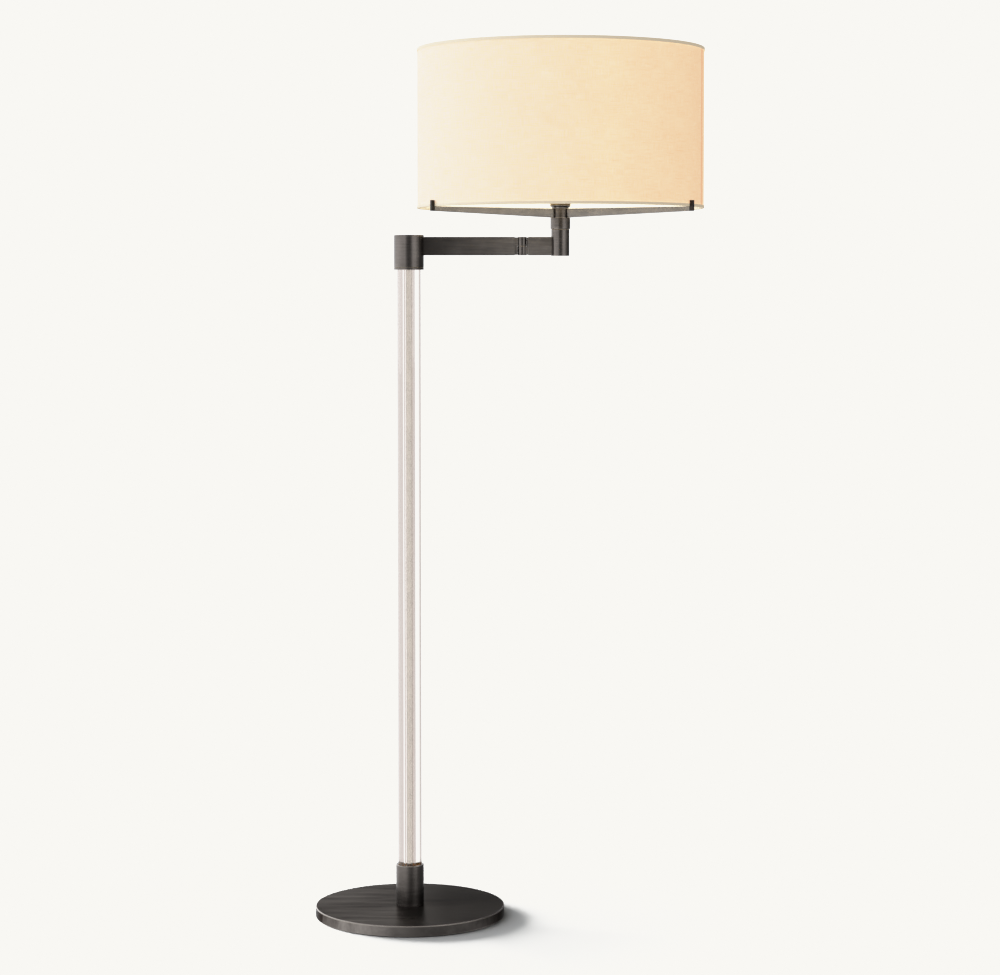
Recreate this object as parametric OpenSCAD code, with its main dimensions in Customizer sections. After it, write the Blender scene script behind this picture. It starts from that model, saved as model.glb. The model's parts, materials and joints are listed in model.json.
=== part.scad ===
/* [Base] */
// Diameter of the round base
base_d = 305; // [240:5:400]
// Height of the base above its felt pad
base_h = 16; // [14:1:30]
// Sheet thickness of the formed base cover
cover_wall = 1.5; // [1:0.25:2]
// Radius of the cover's top edge
cover_edge_r = 1.4; // [0.6:0.2:3]
// Thickness of the felt pad
felt_h = 2; // [1:0.5:4]
// How far the felt pad stays inside the base's edge
felt_inset = 3; // [2:1:10]
// Diameter of the cord inlet's bore
inlet_bore_d = 6.6; // [4:0.2:8]

/* [Column] */
// Diameter of the clear glass column
glass_d = 38; // [30:1:46]
// Length of glass in sight between the collar and the cap
glass_clear = 959.5; // [500:5:1300]
// Bore through the glass
glass_bore_d = 13; // [12:0.5:20]
// Outside diameter of the wire conduit
conduit_d = 10; // [8:0.5:11]
// Wall of the wire conduit
conduit_wall = 1.4; // [1:0.1:2]
// Height of the collar that holds the glass
collar_h = 66; // [40:1:100]
// Wall of the collar
collar_wall = 3.3; // [2:0.1:6]
// Floor of the collar under the glass
collar_floor = 6; // [4:1:12]
// Thickness of the gaskets at both ends of the glass
gasket_h = 1.5; // [1:0.5:3]
// Wall of the fixed cap on the glass
cap_wall = 1.8; // [1.4:0.1:4]
// Depth of the cap's socket over the glass
cap_socket = 22; // [12:1:26]
// Thickness of the cap's crown
cap_crown = 5; // [4:0.5:8]
// Thickness of the cap's flange
cap_flange_h = 3; // [2:0.5:6]

/* [Hub] */
// Wall of the turning hub
hub_wall = 2.95; // [2.5:0.05:6]
// Length of hub below the arm
hub_skirt = 19.2; // [12:0.2:40]
// Length of hub above the arm
hub_brow = 0.6; // [0.2:0.1:6]
// Thickness of the hub's top cap
hub_cap_h = 2.4; // [1.6:0.1:5]
// Thickness of the thrust washers
thrust_h = 0.8; // [0.4:0.1:2]

/* [Arms] */
// Height of the flat arm bars
arm_h = 29.5; // [26:0.5:45]
// Thickness of the flat arm bars
arm_t = 9.5; // [8:0.1:12]
// Wall of the hollow arm bars
arm_wall = 1.5; // [1:0.1:2]
// Chamfer along the arm bars' edges
arm_chamfer = 0.8; // [0.3:0.1:1.2]
// Distance from the column to the elbow
inner_reach = 181; // [120:1:400]
// Distance from the elbow to the head
outer_reach = 61; // [50:1:300]
// Diameter of the elbow's barrel
elbow_d = 13.6; // [12.6:0.2:20]
// Diameter of the elbow's hollow pin
elbow_pin_d = 7; // [6:0.1:7.6]
// Bore of the elbow's hollow pin
elbow_pin_bore_d = 4; // [3.2:0.1:4.4]
// How far the elbow folds each way, in degrees
elbow_fold = 130; // [90:5:135]

/* [Head] */
// Diameter of the head's fixed sleeve
sleeve_d = 29.2; // [28:0.2:40]
// Wall of the head's fixed sleeve
sleeve_wall = 3.6; // [2.5:0.1:4]
// Length of sleeve above the arm
sleeve_brow = 11.6; // [6:0.2:30]
// Length of sleeve below the arm
sleeve_drop = 0.9; // [0.5:0.1:4]
// Diameter of the cup that carries the shade
cup_d = 31.8; // [30:0.2:44]
// Diameter of the cup's neck between the shade arms
neck_d = 26.4; // [25:0.2:28.8]
// Height of the cup below its neck
cup_h = 18; // [12:0.5:30]
// Diameter of the flared lip over the neck
lip_d = 33.2; // [30:0.2:46]
// Height of the flared lip
lip_h = 3.8; // [2:0.2:8]

/* [Shade] */
// Outside diameter of the drum shade
shade_d = 457.2; // [300:0.1:600]
// Height of the drum shade
shade_h = 253.6; // [150:0.1:400]
// Thickness of the linen and of its liner, each
skin_t = 0.6; // [0.4:0.1:1.2]
// Diameter of the shade's wire hoops
hoop_d = 3.2; // [2:0.1:5]
// Height of the rolled trim at the top
top_trim_h = 5.4; // [4.6:0.2:12]
// Height of the rolled trim at the bottom
bottom_trim_h = 4.6; // [4.6:0.2:12]
// Thickness of the flat arms under the shade
carrier_t = 5; // [4:0.5:8]
// Height of a shade arm at the cup
carrier_h = 14.4; // [12:0.2:24]
// Height of a shade arm at its tip
carrier_tip_h = 7.2; // [4:0.2:14]
// Height of the hook outside the shade's edge
hook_h = 9.6; // [6:0.2:20]
// Thickness of the hook
hook_t = 6; // [3:0.5:10]

/* [Lamp holder] */
// Outside diameter of the lamp holder's shell
holder_d = 32.8; // [32:0.2:44]
// Height of the lamp holder's shell
holder_h = 49; // [44:1:60]
// Diameter of the bulb's screw cap
bulb_cap_d = 26; // [24:0.1:26.2]
// Diameter of the bulb's globe
globe_d = 60; // [45:1:80]
// Length of the knob outside the lamp holder's shell
knob_l = 14; // [8:1:20]

/* [Hidden] */
$fn = 96;

// Fits: radial clearance of joints that stay put, of joints that turn, and round the glass
seat = 0.02;
run = 0.05;
glass_fit = 0.2;

// Finishes
bronze = "#4a423c";
raw_brass = "#b58a45";
steel = "#a7a9ab";
nickel = "#c9c7c2";
iron = "#4f4f52";
felt = "#2b2a29";
rubber = "#2a2a2c";
phenolic = "#2f2622";
wire_jacket = "#d9d4c6";
linen = "#e9dfcd";

// Base, from the floor up
base_r = base_d / 2;
base_top = felt_h + base_h;
weight_top = base_top - cover_wall;
weight_gap = 0.5;
pocket_d = 34;
pocket_h = 10;
groove_w = 12;
inlet_z = felt_h + 5.5;
groove_top = felt_h + 11;
bush_wall = 1.7;
bush_flange = 1.5;
bush_flange_h = 1;
bush_l = 9;
washer_h = 1.5;
washer_fit = 0.2;
nut_h = 4;
nut_af = 17;

// Column
glass_r = glass_d / 2;
conduit_r = conduit_d / 2;
conduit_bore = conduit_r - conduit_wall;
collar_r = glass_r + glass_fit + collar_wall;
collar_top = base_top + collar_h;
collar_chamfer = 0.9;
glass_z0 = base_top + collar_floor + gasket_h;
cap_z0 = collar_top + glass_clear;
glass_z1 = cap_z0 + cap_socket;
cap_ceiling = glass_z1 + gasket_h;
cap_top = cap_ceiling + cap_crown;
cap_r = glass_r + glass_fit + cap_wall;
gasket_wall_gap = 0.3;

// Hub
hub_z0 = cap_z0 + cap_flange_h + thrust_h;
arm_z0 = hub_z0 + hub_skirt;
arm_z1 = arm_z0 + arm_h;
arm_mid = (arm_z0 + arm_z1) / 2;
hub_z1 = arm_z1 + hub_brow;
hub_bore = cap_r + run;
hub_r = hub_bore + hub_wall;
hub_chamfer = 0.6;
stop_w = 4;
stop_depth = 1;
stop_block_deg = 8;
stop_z = hub_z0 + 7;
cap_nut_top = cap_top + washer_h + nut_h;
conduit_top = cap_nut_top + 2;
conduit_z0 = felt_h + 1;

// Wires: each runs on its pivot's axis where it crosses a joint
wire_d = 2.6;
wire_r = wire_d / 2;
wire_hole = wire_r + 0.4;
wire_bend = 3.5;
wire_gap = 0.3;
inner_wire_z = arm_z1 - 7;
outer_wire_z = arm_z0 + arm_wall + wire_hole + 0.3;

// Arms and elbow
plug_fit = 0.05;
plug_l = 12;
elbow_r = elbow_d / 2;
fold_gap = 1;
half_t = arm_t / 2;
tight = 180 - elbow_fold;
inner_setback = (half_t * (1 + cos(tight)) + fold_gap) / sin(tight);
outer_setback = elbow_r + 2.7;
bar_end = inner_reach - inner_setback;
bar_start = inner_reach + outer_setback;
head_x = inner_reach + outer_reach;
washer_z0 = arm_mid - thrust_h / 2;
washer_z1 = arm_mid + thrust_h / 2;
plug_t = arm_t - 2 * (arm_wall + plug_fit);
plug_top = arm_z1 - arm_wall - plug_fit;
web_t = plug_t - 1.4;
web_lap = 1;
knuckle_t = arm_t - 0.6;
tongue_t = 1.6;
tongue_reach = max(elbow_r + 0.3, (knuckle_t + tongue_t + 0.2) / 2 / sin(tight));
pin_r = elbow_pin_d / 2;
pin_bore = elbow_pin_bore_d / 2;
pin_top = washer_z1 + 5;
elbow_chamber_r = pin_r + 1.1;
elbow_cap_h = 2.2;
elbow_nut_h = 2.6;
elbow_nut_r = elbow_chamber_r + 0.5;
lower_shoulder = arm_z0 + 8.4;
pin_z0 = lower_shoulder - elbow_nut_h - run;

// Head
sleeve_r = sleeve_d / 2;
sleeve_bore = sleeve_r - sleeve_wall;
sleeve_z0 = arm_z0 - sleeve_drop;
sleeve_z1 = arm_z1 + sleeve_brow;
plug_h = 2;
shoulder_z1 = sleeve_z1 - 18.6;
shoulder_h = 3;
shoulder_z0 = shoulder_z1 - shoulder_h;
journal_r = sleeve_bore - 4;
head_nut_h = 5;
stem_z0 = shoulder_z0 - run - head_nut_h - 1;
stem_bore = 3.5;
nipple_r = 4.8;
nipple_bore = 3.2;
cup_z0 = sleeve_z1 + thrust_h;
neck_z0 = cup_z0 + cup_h;
neck_r = neck_d / 2;
neck_wall = 2.6;
carrier_z1 = neck_z0 + carrier_h;
lip_z0 = carrier_z1 + 1.8;
lip_z1 = lip_z0 + lip_h;
cup_floor = cup_z0 + 4.6;
cup_chamfer = 0.9;
nipple_z0 = cup_floor - 12;
head_stop_z = sleeve_z1 - 7;

// Shade and the arms that carry it
shade_r = shade_d / 2;
shade_z0 = carrier_z1;
shade_z1 = shade_z0 + shade_h;
trim_wall = 0.5;
trim_fit = 0.1;
trim_r = shade_r + trim_fit + trim_wall;
liner_bore = shade_r - 2 * skin_t - seat;
hoop_r = hoop_d / 2;
hoop_pitch_r = liner_bore - hoop_r - 0.1;
trim_bore = hoop_pitch_r - hoop_r - 0.1 - trim_wall;
hook_gap = 0.5;
hook_r0 = trim_r + hook_gap;
hook_r1 = hook_r0 + hook_t;
carrier_r0 = neck_r + 2.1;
tenon_t = carrier_t - 1.6;
tenon_h = carrier_h - 5;
tenon_r0 = neck_r - neck_wall + 0.3;
carrier_dirs = [90, 210, 330];

// Lamp holder and bulb
holder_z0 = lip_z1;
holder_z1 = holder_z0 + holder_h;
holder_r = holder_d / 2;
holder_wall = 0.8;
liner_t = 0.9;
screw_wall = 0.5;
bulb_cap_r = bulb_cap_d / 2;
screw_r = bulb_cap_r + 0.2;
holder_nut_h = 3.5;
nipple_z1 = holder_z0 + holder_wall + holder_nut_h + 1;
block_z0 = nipple_z1 + 1;
block_h = 19;
block_z1 = block_z0 + block_h;
screw_z0 = block_z1 + 1;
screw_h = 21;
contact_h = 2.5;
cap_tip_z0 = block_z1 + contact_h;
bulb_cap_z0 = cap_tip_z0 + 2.5;
bulb_cap_l = 24;
globe_z0 = bulb_cap_z0 + bulb_cap_l;
globe_r = globe_d / 2;
globe_neck_r = bulb_cap_r + 0.3;
globe_centre = globe_z0 + 53;
globe_wall = 0.8;
knob_z = block_z0 + block_h / 2;
knob_r = 5;
spindle_r = 2;

// A pipe about Z, from z0 to z1
module pipe(r_out, r_in, z0, z1) {
    translate([0, 0, z0]) difference() {
        cylinder(r = r_out, h = z1 - z0);
        translate([0, 0, -1]) cylinder(r = r_in, h = z1 - z0 + 2);
    }
}

// A disc about Z with its top and bottom edges chamfered by c0 and c1
module turned(r, z0, z1, c0 = 0, c1 = 0) {
    rotate_extrude()
        polygon([[0, z0], [r - c0, z0], [r, z0 + c0], [r, z1 - c1], [r - c1, z1], [0, z1]]);
}

// A hexagon nut about Z with a round bore
module hex_nut(af, bore_r, z0, h) {
    translate([0, 0, z0]) difference() {
        cylinder(r = af / sqrt(3), h = h, $fn = 6);
        translate([0, 0, -1]) cylinder(r = bore_r, h = h + 2);
    }
}

// The cross-section of an arm bar with chamfered edges, in Y and Z about its middle
module bar_section(t, h, c) {
    polygon([
        [-t / 2 + c, -h / 2], [t / 2 - c, -h / 2], [t / 2, -h / 2 + c], [t / 2, h / 2 - c],
        [t / 2 - c, h / 2], [-t / 2 + c, h / 2], [-t / 2, h / 2 - c], [-t / 2, -h / 2 + c]
    ]);
}

// A bar of that section along X from x0 to x1, at the arms' height
module bar(x0, x1, t, h, c) {
    translate([x0, 0, arm_mid]) rotate([90, 0, 90]) linear_extrude(x1 - x0) bar_section(t, h, c);
}

// A hollow arm bar from x0 to x1
module hollow_bar(x0, x1) {
    difference() {
        bar(x0, x1, arm_t, arm_h, arm_chamfer);
        bar(x0 - 1, x1 + 1, arm_t - 2 * arm_wall, arm_h - 2 * arm_wall, arm_chamfer / 2);
    }
}

// A round wire along X at height z
module wire_x(x0, x1, z) {
    translate([x0, 0, z]) rotate([0, 90, 0]) cylinder(r = wire_r, h = x1 - x0, $fn = 24);
}

// A round wire along Z
module wire_z(x, z0, z1) {
    translate([x, 0, z0]) cylinder(r = wire_r, h = z1 - z0, $fn = 24);
}

// A quarter bend of wire in the XZ plane about the point x, z, starting at angle a
module wire_corner(x, z, a) {
    translate([x, 0, z]) rotate([90, 0, 0]) rotate([0, 0, a])
        rotate_extrude(angle = 90, $fn = 48) translate([wire_bend, 0]) circle(r = wire_r, $fn = 24);
}

// A wide groove round a journal, left whole where the stop block stands at +X
module stop_groove(r, z) {
    block = stop_block_deg / 2;
    difference() {
        pipe(r + 1, r - stop_depth, z - stop_w / 2 - 0.5, z + stop_w / 2 + 0.5);
        translate([0, 0, z - stop_w]) linear_extrude(2 * stop_w)
            polygon([[0, 0], 2 * r * [cos(block), -sin(block)], 2 * r * [cos(block), sin(block)]]);
    }
}

// A grub screw at -X whose tip stands in the groove of a journal of radius r
module stop_screw(r, r_out, z) {
    translate([-r_out + 0.3, 0, z]) rotate([0, 90, 0]) difference() {
        cylinder(r = stop_w / 2, h = r_out - 0.3 - r + stop_depth - 0.3);
        translate([0, 0, -1]) cylinder(r = 1.1, h = 2.6, $fn = 6);
    }
}

module felt_pad() {
    color(felt) cylinder(r = base_r - felt_inset, h = felt_h, $fn = 180);
}

module base_weight() {
    r = base_r - cover_wall - weight_gap;
    color(iron) difference() {
        translate([0, 0, felt_h]) cylinder(r = r, h = weight_top - felt_h, $fn = 180);
        translate([0, 0, felt_h - 1]) cylinder(r = conduit_r + seat, h = base_h + 2);
        translate([0, 0, felt_h - 1]) cylinder(r = pocket_d / 2, h = pocket_h + 1);
        translate([-groove_w / 2, 0, felt_h - 1]) cube([groove_w, base_r, groove_top - felt_h + 1]);
    }
}

module base_cover() {
    e = cover_edge_r;
    steps = 5;
    edge = [for (i = [0:steps]) let (a = 90 * i / steps)
        [base_r - e + e * cos(a), base_top - e + e * sin(a)]];
    color(bronze) difference() {
        rotate_extrude($fn = 240) polygon(concat(
            [[conduit_r + seat, weight_top], [base_r - cover_wall, weight_top]],
            [[base_r - cover_wall, felt_h], [base_r, felt_h]],
            edge,
            [[conduit_r + seat, base_top]]
        ));
        translate([0, base_r - cover_wall - 3, inlet_z]) rotate([-90, 0, 0])
            cylinder(r = inlet_bore_d / 2 + bush_wall + run, h = cover_wall + 6);
    }
}

module cord_inlet_bush() {
    r = inlet_bore_d / 2;
    color(rubber) translate([0, base_r + bush_flange_h - bush_l, inlet_z]) rotate([-90, 0, 0]) difference() {
        union() {
            cylinder(r = r + bush_wall, h = bush_l);
            translate([0, 0, bush_l - bush_flange_h])
                cylinder(r = r + bush_wall + bush_flange, h = bush_flange_h);
        }
        translate([0, 0, -1]) cylinder(r = r, h = bush_l + 2);
    }
}

module base_washer() {
    z1 = felt_h + pocket_h;
    color(steel) pipe(pocket_d / 2 - 4, conduit_r + washer_fit, z1 - washer_h, z1);
}

module base_nut() {
    color(steel) hex_nut(nut_af, conduit_r + seat, felt_h + pocket_h - washer_h - nut_h, nut_h);
}

module column_collar() {
    socket = glass_r + glass_fit;
    c = collar_chamfer;
    color(bronze) rotate_extrude() polygon([
        [conduit_r + seat, base_top], [collar_r, base_top], [collar_r, collar_top - c],
        [collar_r - c, collar_top], [socket + c / 2, collar_top], [socket, collar_top - c / 2],
        [socket, base_top + collar_floor], [conduit_r + seat, base_top + collar_floor]
    ]);
}

// The ring between an end of the glass and its seat
module gasket(z0) {
    color(rubber) pipe(glass_r - gasket_wall_gap, glass_bore_d / 2 + gasket_wall_gap, z0, z0 + gasket_h);
}

module lower_gasket() {
    gasket(glass_z0 - gasket_h);
}

module upper_gasket() {
    gasket(glass_z1);
}

module glass_column() {
    color("#dfe8e6", 0.4) pipe(glass_r, glass_bore_d / 2, glass_z0, glass_z1);
}

module wire_conduit() {
    color(nickel) pipe(conduit_r, conduit_bore, conduit_z0, conduit_top);
}

module column_cap() {
    socket = glass_r + glass_fit;
    flange_z1 = cap_z0 + cap_flange_h;
    c = hub_chamfer;
    color(bronze) difference() {
        rotate_extrude() polygon([
            [socket, cap_z0], [hub_r - c, cap_z0], [hub_r, cap_z0 + c], [hub_r, flange_z1],
            [cap_r, flange_z1], [cap_r, cap_top], [conduit_r + seat, cap_top],
            [conduit_r + seat, cap_ceiling], [socket, cap_ceiling]
        ]);
        stop_groove(cap_r, stop_z);
    }
}

module cap_washer() {
    color(steel) pipe(nut_af / 2 + 2, conduit_r + washer_fit, cap_top, cap_top + washer_h);
}

module cap_nut() {
    color(steel) hex_nut(nut_af, conduit_r + seat, cap_top + washer_h, nut_h);
}

module hub_thrust_washer() {
    color(raw_brass) pipe(hub_r - 0.5, cap_r + run, cap_z0 + cap_flange_h, hub_z0);
}

module column_wire() {
    color(wire_jacket) wire_z(0, conduit_z0 + 2, conduit_top + 0.5);
}

module arm_hub() {
    c = hub_chamfer;
    color(bronze) difference() {
        rotate_extrude() polygon([
            [hub_bore, hub_z0 + c / 2], [hub_bore + c / 2, hub_z0], [hub_r - c / 2, hub_z0],
            [hub_r, hub_z0 + c / 2], [hub_r, hub_z1], [hub_bore, hub_z1]
        ]);
        translate([0, 0, inner_wire_z]) rotate([0, 90, 0]) cylinder(r = wire_hole, h = hub_r + 1);
        translate([0, 0, stop_z]) rotate([0, -90, 0]) cylinder(r = stop_w / 2 + seat, h = hub_r + 1);
    }
}

module hub_cap() {
    spigot_r = hub_bore - seat;
    spigot_h = 3;
    c = 0.9;
    color(bronze) rotate_extrude() polygon([
        [0, hub_z1 - spigot_h + 1.5], [spigot_r - 1.5, hub_z1 - spigot_h + 1.5],
        [spigot_r - 1.5, hub_z1 - spigot_h], [spigot_r, hub_z1 - spigot_h], [spigot_r, hub_z1],
        [hub_r, hub_z1], [hub_r, hub_z1 + hub_cap_h - c], [hub_r - c, hub_z1 + hub_cap_h],
        [0, hub_z1 + hub_cap_h]
    ]);
}

module hub_stop_screw() {
    color(steel) stop_screw(cap_r, hub_r, stop_z);
}

module inner_arm_bar() {
    color(bronze) difference() {
        hollow_bar(hub_bore, bar_end);
        translate([0, 0, arm_z0 - 1]) cylinder(r = hub_r + seat, h = arm_h + 2);
    }
}

// The block of a knuckle that fills the end of a hollow bar
module bar_plug(x0, x1) {
    bar(x0, x1, plug_t, 2 * (plug_top - arm_mid), arm_chamfer / 2);
}

// A thin fin that closes the gap between the end of a bar and the other arm's barrel
module tongue(x0, x1) {
    translate([x0, -tongue_t / 2, arm_z0 + arm_chamfer])
        cube([x1 - x0, tongue_t, arm_h - 2 * arm_chamfer]);
}

module inner_knuckle() {
    color(bronze) difference() {
        union() {
            bar_plug(bar_end - plug_l, bar_end);
            tongue(bar_end, inner_reach - tongue_reach);
            translate([bar_end - web_lap, -web_t / 2, washer_z1])
                cube([inner_setback + web_lap, web_t, plug_top - washer_z1]);
            translate([inner_reach, 0, 0]) turned(elbow_r, washer_z1, arm_z1, 0, 0.4);
        }
        translate([inner_reach, 0, washer_z1 - 1]) cylinder(r = pin_r + seat, h = pin_top - washer_z1 + 1);
        translate([inner_reach, 0, pin_top]) cylinder(r = elbow_chamber_r, h = arm_z1 - pin_top + 1);
        translate([bar_end - plug_l - 1, 0, inner_wire_z]) rotate([0, 90, 0])
            cylinder(r = wire_hole, h = inner_setback + plug_l + 1);
    }
}

module elbow_pin() {
    color(steel) translate([inner_reach, 0, 0]) pipe(pin_r, pin_bore, pin_z0, pin_top);
}

module elbow_nut() {
    color(steel) translate([inner_reach, 0, 0])
        pipe(elbow_nut_r, pin_r + seat, pin_z0, pin_z0 + elbow_nut_h);
}

// A push-in cover for one end of the elbow's barrel
module elbow_cover(z0) {
    translate([inner_reach, 0, 0]) turned(elbow_chamber_r - seat, z0, z0 + elbow_cap_h);
}

module elbow_top_cap() {
    color(bronze) elbow_cover(arm_z1 - elbow_cap_h);
}

module inner_arm_wire() {
    top = inner_wire_z;
    color(wire_jacket) {
        wire_z(0, conduit_top + 0.5 + wire_gap, top - wire_bend);
        wire_corner(wire_bend, top - wire_bend, 90);
        wire_x(wire_bend, inner_reach - wire_bend, top);
        wire_corner(inner_reach - wire_bend, top - wire_bend, 0);
        wire_z(inner_reach, outer_wire_z + wire_bend + wire_gap, top - wire_bend);
    }
}

module elbow_washer() {
    color(raw_brass) translate([inner_reach, 0, 0])
        pipe(elbow_r - 0.3, pin_r + run, washer_z0 + run, washer_z1 - run);
}

module outer_knuckle() {
    color(bronze) difference() {
        union() {
            bar_plug(bar_start - web_lap, bar_start + plug_l);
            tongue(inner_reach + tongue_reach, bar_start);
            translate([inner_reach, -knuckle_t / 2, arm_z0 + arm_chamfer])
                cube([outer_setback, knuckle_t, washer_z0 - arm_z0 - arm_chamfer]);
            translate([inner_reach, 0, 0]) turned(elbow_r, arm_z0, washer_z0, 0.4, 0);
        }
        translate([inner_reach, 0, arm_z0 - 1]) cylinder(r = pin_r + run, h = arm_h);
        translate([inner_reach, 0, arm_z0 - 1])
            cylinder(r = elbow_nut_r + 0.3, h = lower_shoulder - arm_z0 + 1);
        translate([inner_reach, 0, outer_wire_z]) rotate([0, 90, 0])
            cylinder(r = wire_hole, h = outer_setback + plug_l + 1);
    }
}

module elbow_bottom_cap() {
    color(bronze) translate([inner_reach, 0, 0])
        turned(elbow_nut_r + 0.3 - seat, arm_z0, arm_z0 + 1.6);
}

module outer_arm_bar() {
    color(bronze) difference() {
        hollow_bar(bar_start, head_x);
        translate([head_x, 0, arm_z0 - 1]) cylinder(r = sleeve_r + seat, h = arm_h + 2);
    }
}

module head_sleeve() {
    c = 0.5;
    color(bronze) translate([head_x, 0, 0]) difference() {
        rotate_extrude() polygon([
            [sleeve_bore, sleeve_z0], [sleeve_r - c, sleeve_z0], [sleeve_r, sleeve_z0 + c],
            [sleeve_r, sleeve_z1 - c], [sleeve_r - c, sleeve_z1], [sleeve_bore, sleeve_z1],
            [sleeve_bore, shoulder_z1], [journal_r + run, shoulder_z1],
            [journal_r + run, shoulder_z0], [sleeve_bore, shoulder_z0]
        ]);
        translate([0, 0, outer_wire_z]) rotate([0, -90, 0]) cylinder(r = wire_hole, h = sleeve_r + 1);
        translate([0, 0, head_stop_z]) rotate([0, -90, 0])
            cylinder(r = stop_w / 2 + seat, h = sleeve_r + 1);
    }
}

module sleeve_plug() {
    color(bronze) translate([head_x, 0, 0])
        turned(sleeve_bore - seat, sleeve_z0, sleeve_z0 + plug_h, 0.4, 0);
}

module head_washer() {
    color(raw_brass) translate([head_x, 0, 0])
        pipe(sleeve_r - 0.3, sleeve_bore + run, sleeve_z1, sleeve_z1 + thrust_h - run);
}

module head_stop_screw() {
    color(steel) translate([head_x, 0, 0]) stop_screw(sleeve_bore, sleeve_r, head_stop_z);
}

module outer_arm_wire() {
    z = outer_wire_z;
    color(wire_jacket) {
        wire_corner(inner_reach + wire_bend, z + wire_bend, 180);
        wire_x(inner_reach + wire_bend, head_x - wire_bend, z);
        wire_corner(head_x - wire_bend, z + wire_bend, 270);
        wire_z(head_x, z + wire_bend, stem_z0 - 1);
    }
}

module socket_cup() {
    cup_r = cup_d / 2;
    lip_r = lip_d / 2;
    c = cup_chamfer;
    well = neck_r - neck_wall;
    color(bronze) translate([head_x, 0, 0]) difference() {
        rotate_extrude() polygon([
            [stem_bore, stem_z0], [journal_r, stem_z0], [journal_r, shoulder_z1 + run],
            [sleeve_bore - run, shoulder_z1 + run], [sleeve_bore - run, cup_z0],
            [cup_r - c, cup_z0], [cup_r, cup_z0 + c], [cup_r, neck_z0 - c / 2],
            [cup_r - c / 2, neck_z0], [neck_r, neck_z0], [neck_r, lip_z0],
            [lip_r, lip_z1 - 1.6], [lip_r, lip_z1], [well, lip_z1], [well, cup_floor],
            [nipple_r + seat, cup_floor], [nipple_r + seat, nipple_z0], [stem_bore, nipple_z0]
        ]);
        stop_groove(sleeve_bore - run, head_stop_z);
        for (a = carrier_dirs) rotate([0, 0, a])
            translate([0, -tenon_t / 2 - seat, neck_z0 + (carrier_h - tenon_h) / 2 - seat])
                cube([neck_r + 2, tenon_t + 2 * seat, tenon_h + 2 * seat]);
    }
}

module head_nut() {
    color(steel) translate([head_x, 0, 0])
        pipe(sleeve_bore - 0.6, journal_r + seat, shoulder_z0 - run - head_nut_h, shoulder_z0 - run);
}

module holder_nipple() {
    color(steel) translate([head_x, 0, 0]) pipe(nipple_r, nipple_bore, nipple_z0 + run, nipple_z1);
}

// One flat arm: a tenon in the neck, a tapering blade and a hook outside the shade
module shade_arm(a) {
    z0 = neck_z0;
    z1 = carrier_z1 - seat;
    color(bronze) translate([head_x, 0, 0]) rotate([0, 0, a]) {
        translate([0, carrier_t / 2, 0]) rotate([90, 0, 0]) linear_extrude(carrier_t) polygon([
            [carrier_r0, z0], [hook_r1 - 1.5, z1 - carrier_tip_h], [hook_r1, z1 - carrier_tip_h + 1.5],
            [hook_r1, z1 + hook_h - 0.6], [hook_r1 - 0.6, z1 + hook_h], [hook_r0 + 0.6, z1 + hook_h],
            [hook_r0, z1 + hook_h - 0.6], [hook_r0, z1], [carrier_r0, z1]
        ]);
        translate([tenon_r0, -tenon_t / 2, z0 + (carrier_h - tenon_h) / 2])
            cube([carrier_r0 - tenon_r0 + 1, tenon_t, tenon_h]);
    }
}

module shade_arm_back() {
    shade_arm(carrier_dirs[0]);
}

module shade_arm_left() {
    shade_arm(carrier_dirs[1]);
}

module shade_arm_right() {
    shade_arm(carrier_dirs[2]);
}

module holder_shell() {
    bore = holder_r - holder_wall;
    hole = nipple_r + 0.1;
    color(raw_brass) translate([head_x, 0, 0]) difference() {
        rotate_extrude() polygon([
            [hole, holder_z0], [holder_r - 2, holder_z0], [holder_r, holder_z0 + 2],
            [holder_r, holder_z1], [bore, holder_z1], [bore, holder_z0 + 2 + holder_wall / 2],
            [holder_r - 2 - holder_wall / 2, holder_z0 + holder_wall], [hole, holder_z0 + holder_wall]
        ]);
        translate([0, 0, knob_z]) rotate([90, 0, 0]) cylinder(r = spindle_r + 0.6, h = holder_r + 1);
    }
}

module holder_nut() {
    color(steel) translate([head_x, 0, 0])
        hex_nut(15, nipple_r + seat, holder_z0 + holder_wall, holder_nut_h);
}

module switch_block() {
    r = holder_r - holder_wall - 0.3;
    color(phenolic) translate([head_x, 0, 0]) difference() {
        translate([0, 0, block_z0]) cylinder(r = r, h = block_h);
        translate([0, 0, knob_z]) rotate([90, 0, 0]) cylinder(r = spindle_r + run, h = r + 1);
    }
}

module centre_contact() {
    color(raw_brass) translate([head_x, 0, 0]) turned(4.5, block_z1, block_z1 + contact_h - 0.1, 0, 0.8);
}

module holder_liner() {
    r = holder_r - holder_wall - 0.1;
    color("#8a6a48") translate([head_x, 0, 0]) pipe(r, r - liner_t, block_z1, holder_z1 + 2);
}

module screw_shell() {
    color(raw_brass) translate([head_x, 0, 0])
        pipe(screw_r + screw_wall, screw_r, screw_z0, screw_z0 + screw_h);
}

module bulb_cap() {
    color(nickel) translate([head_x, 0, 0]) rotate_extrude() polygon([
        [0, cap_tip_z0], [4.5, cap_tip_z0], [5.5, cap_tip_z0 + 1], [8, bulb_cap_z0],
        [bulb_cap_r - 2.5, bulb_cap_z0], [bulb_cap_r, bulb_cap_z0 + 3], [bulb_cap_r, globe_z0],
        [0, globe_z0]
    ]);
}

// The bulb's outline as a solid: a ball that runs into a cone, shrunk by the wall s
module globe_solid(s) {
    dz = globe_centre - globe_z0;
    lean = asin((globe_r - globe_neck_r) / dz);
    touch_z = globe_centre - globe_r * sin(lean);
    touch_r = globe_r * cos(lean);
    translate([0, 0, globe_centre]) sphere(r = globe_r - s);
    translate([0, 0, globe_z0]) cylinder(r1 = globe_neck_r - s, r2 = touch_r - s, h = touch_z - globe_z0);
}

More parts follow.
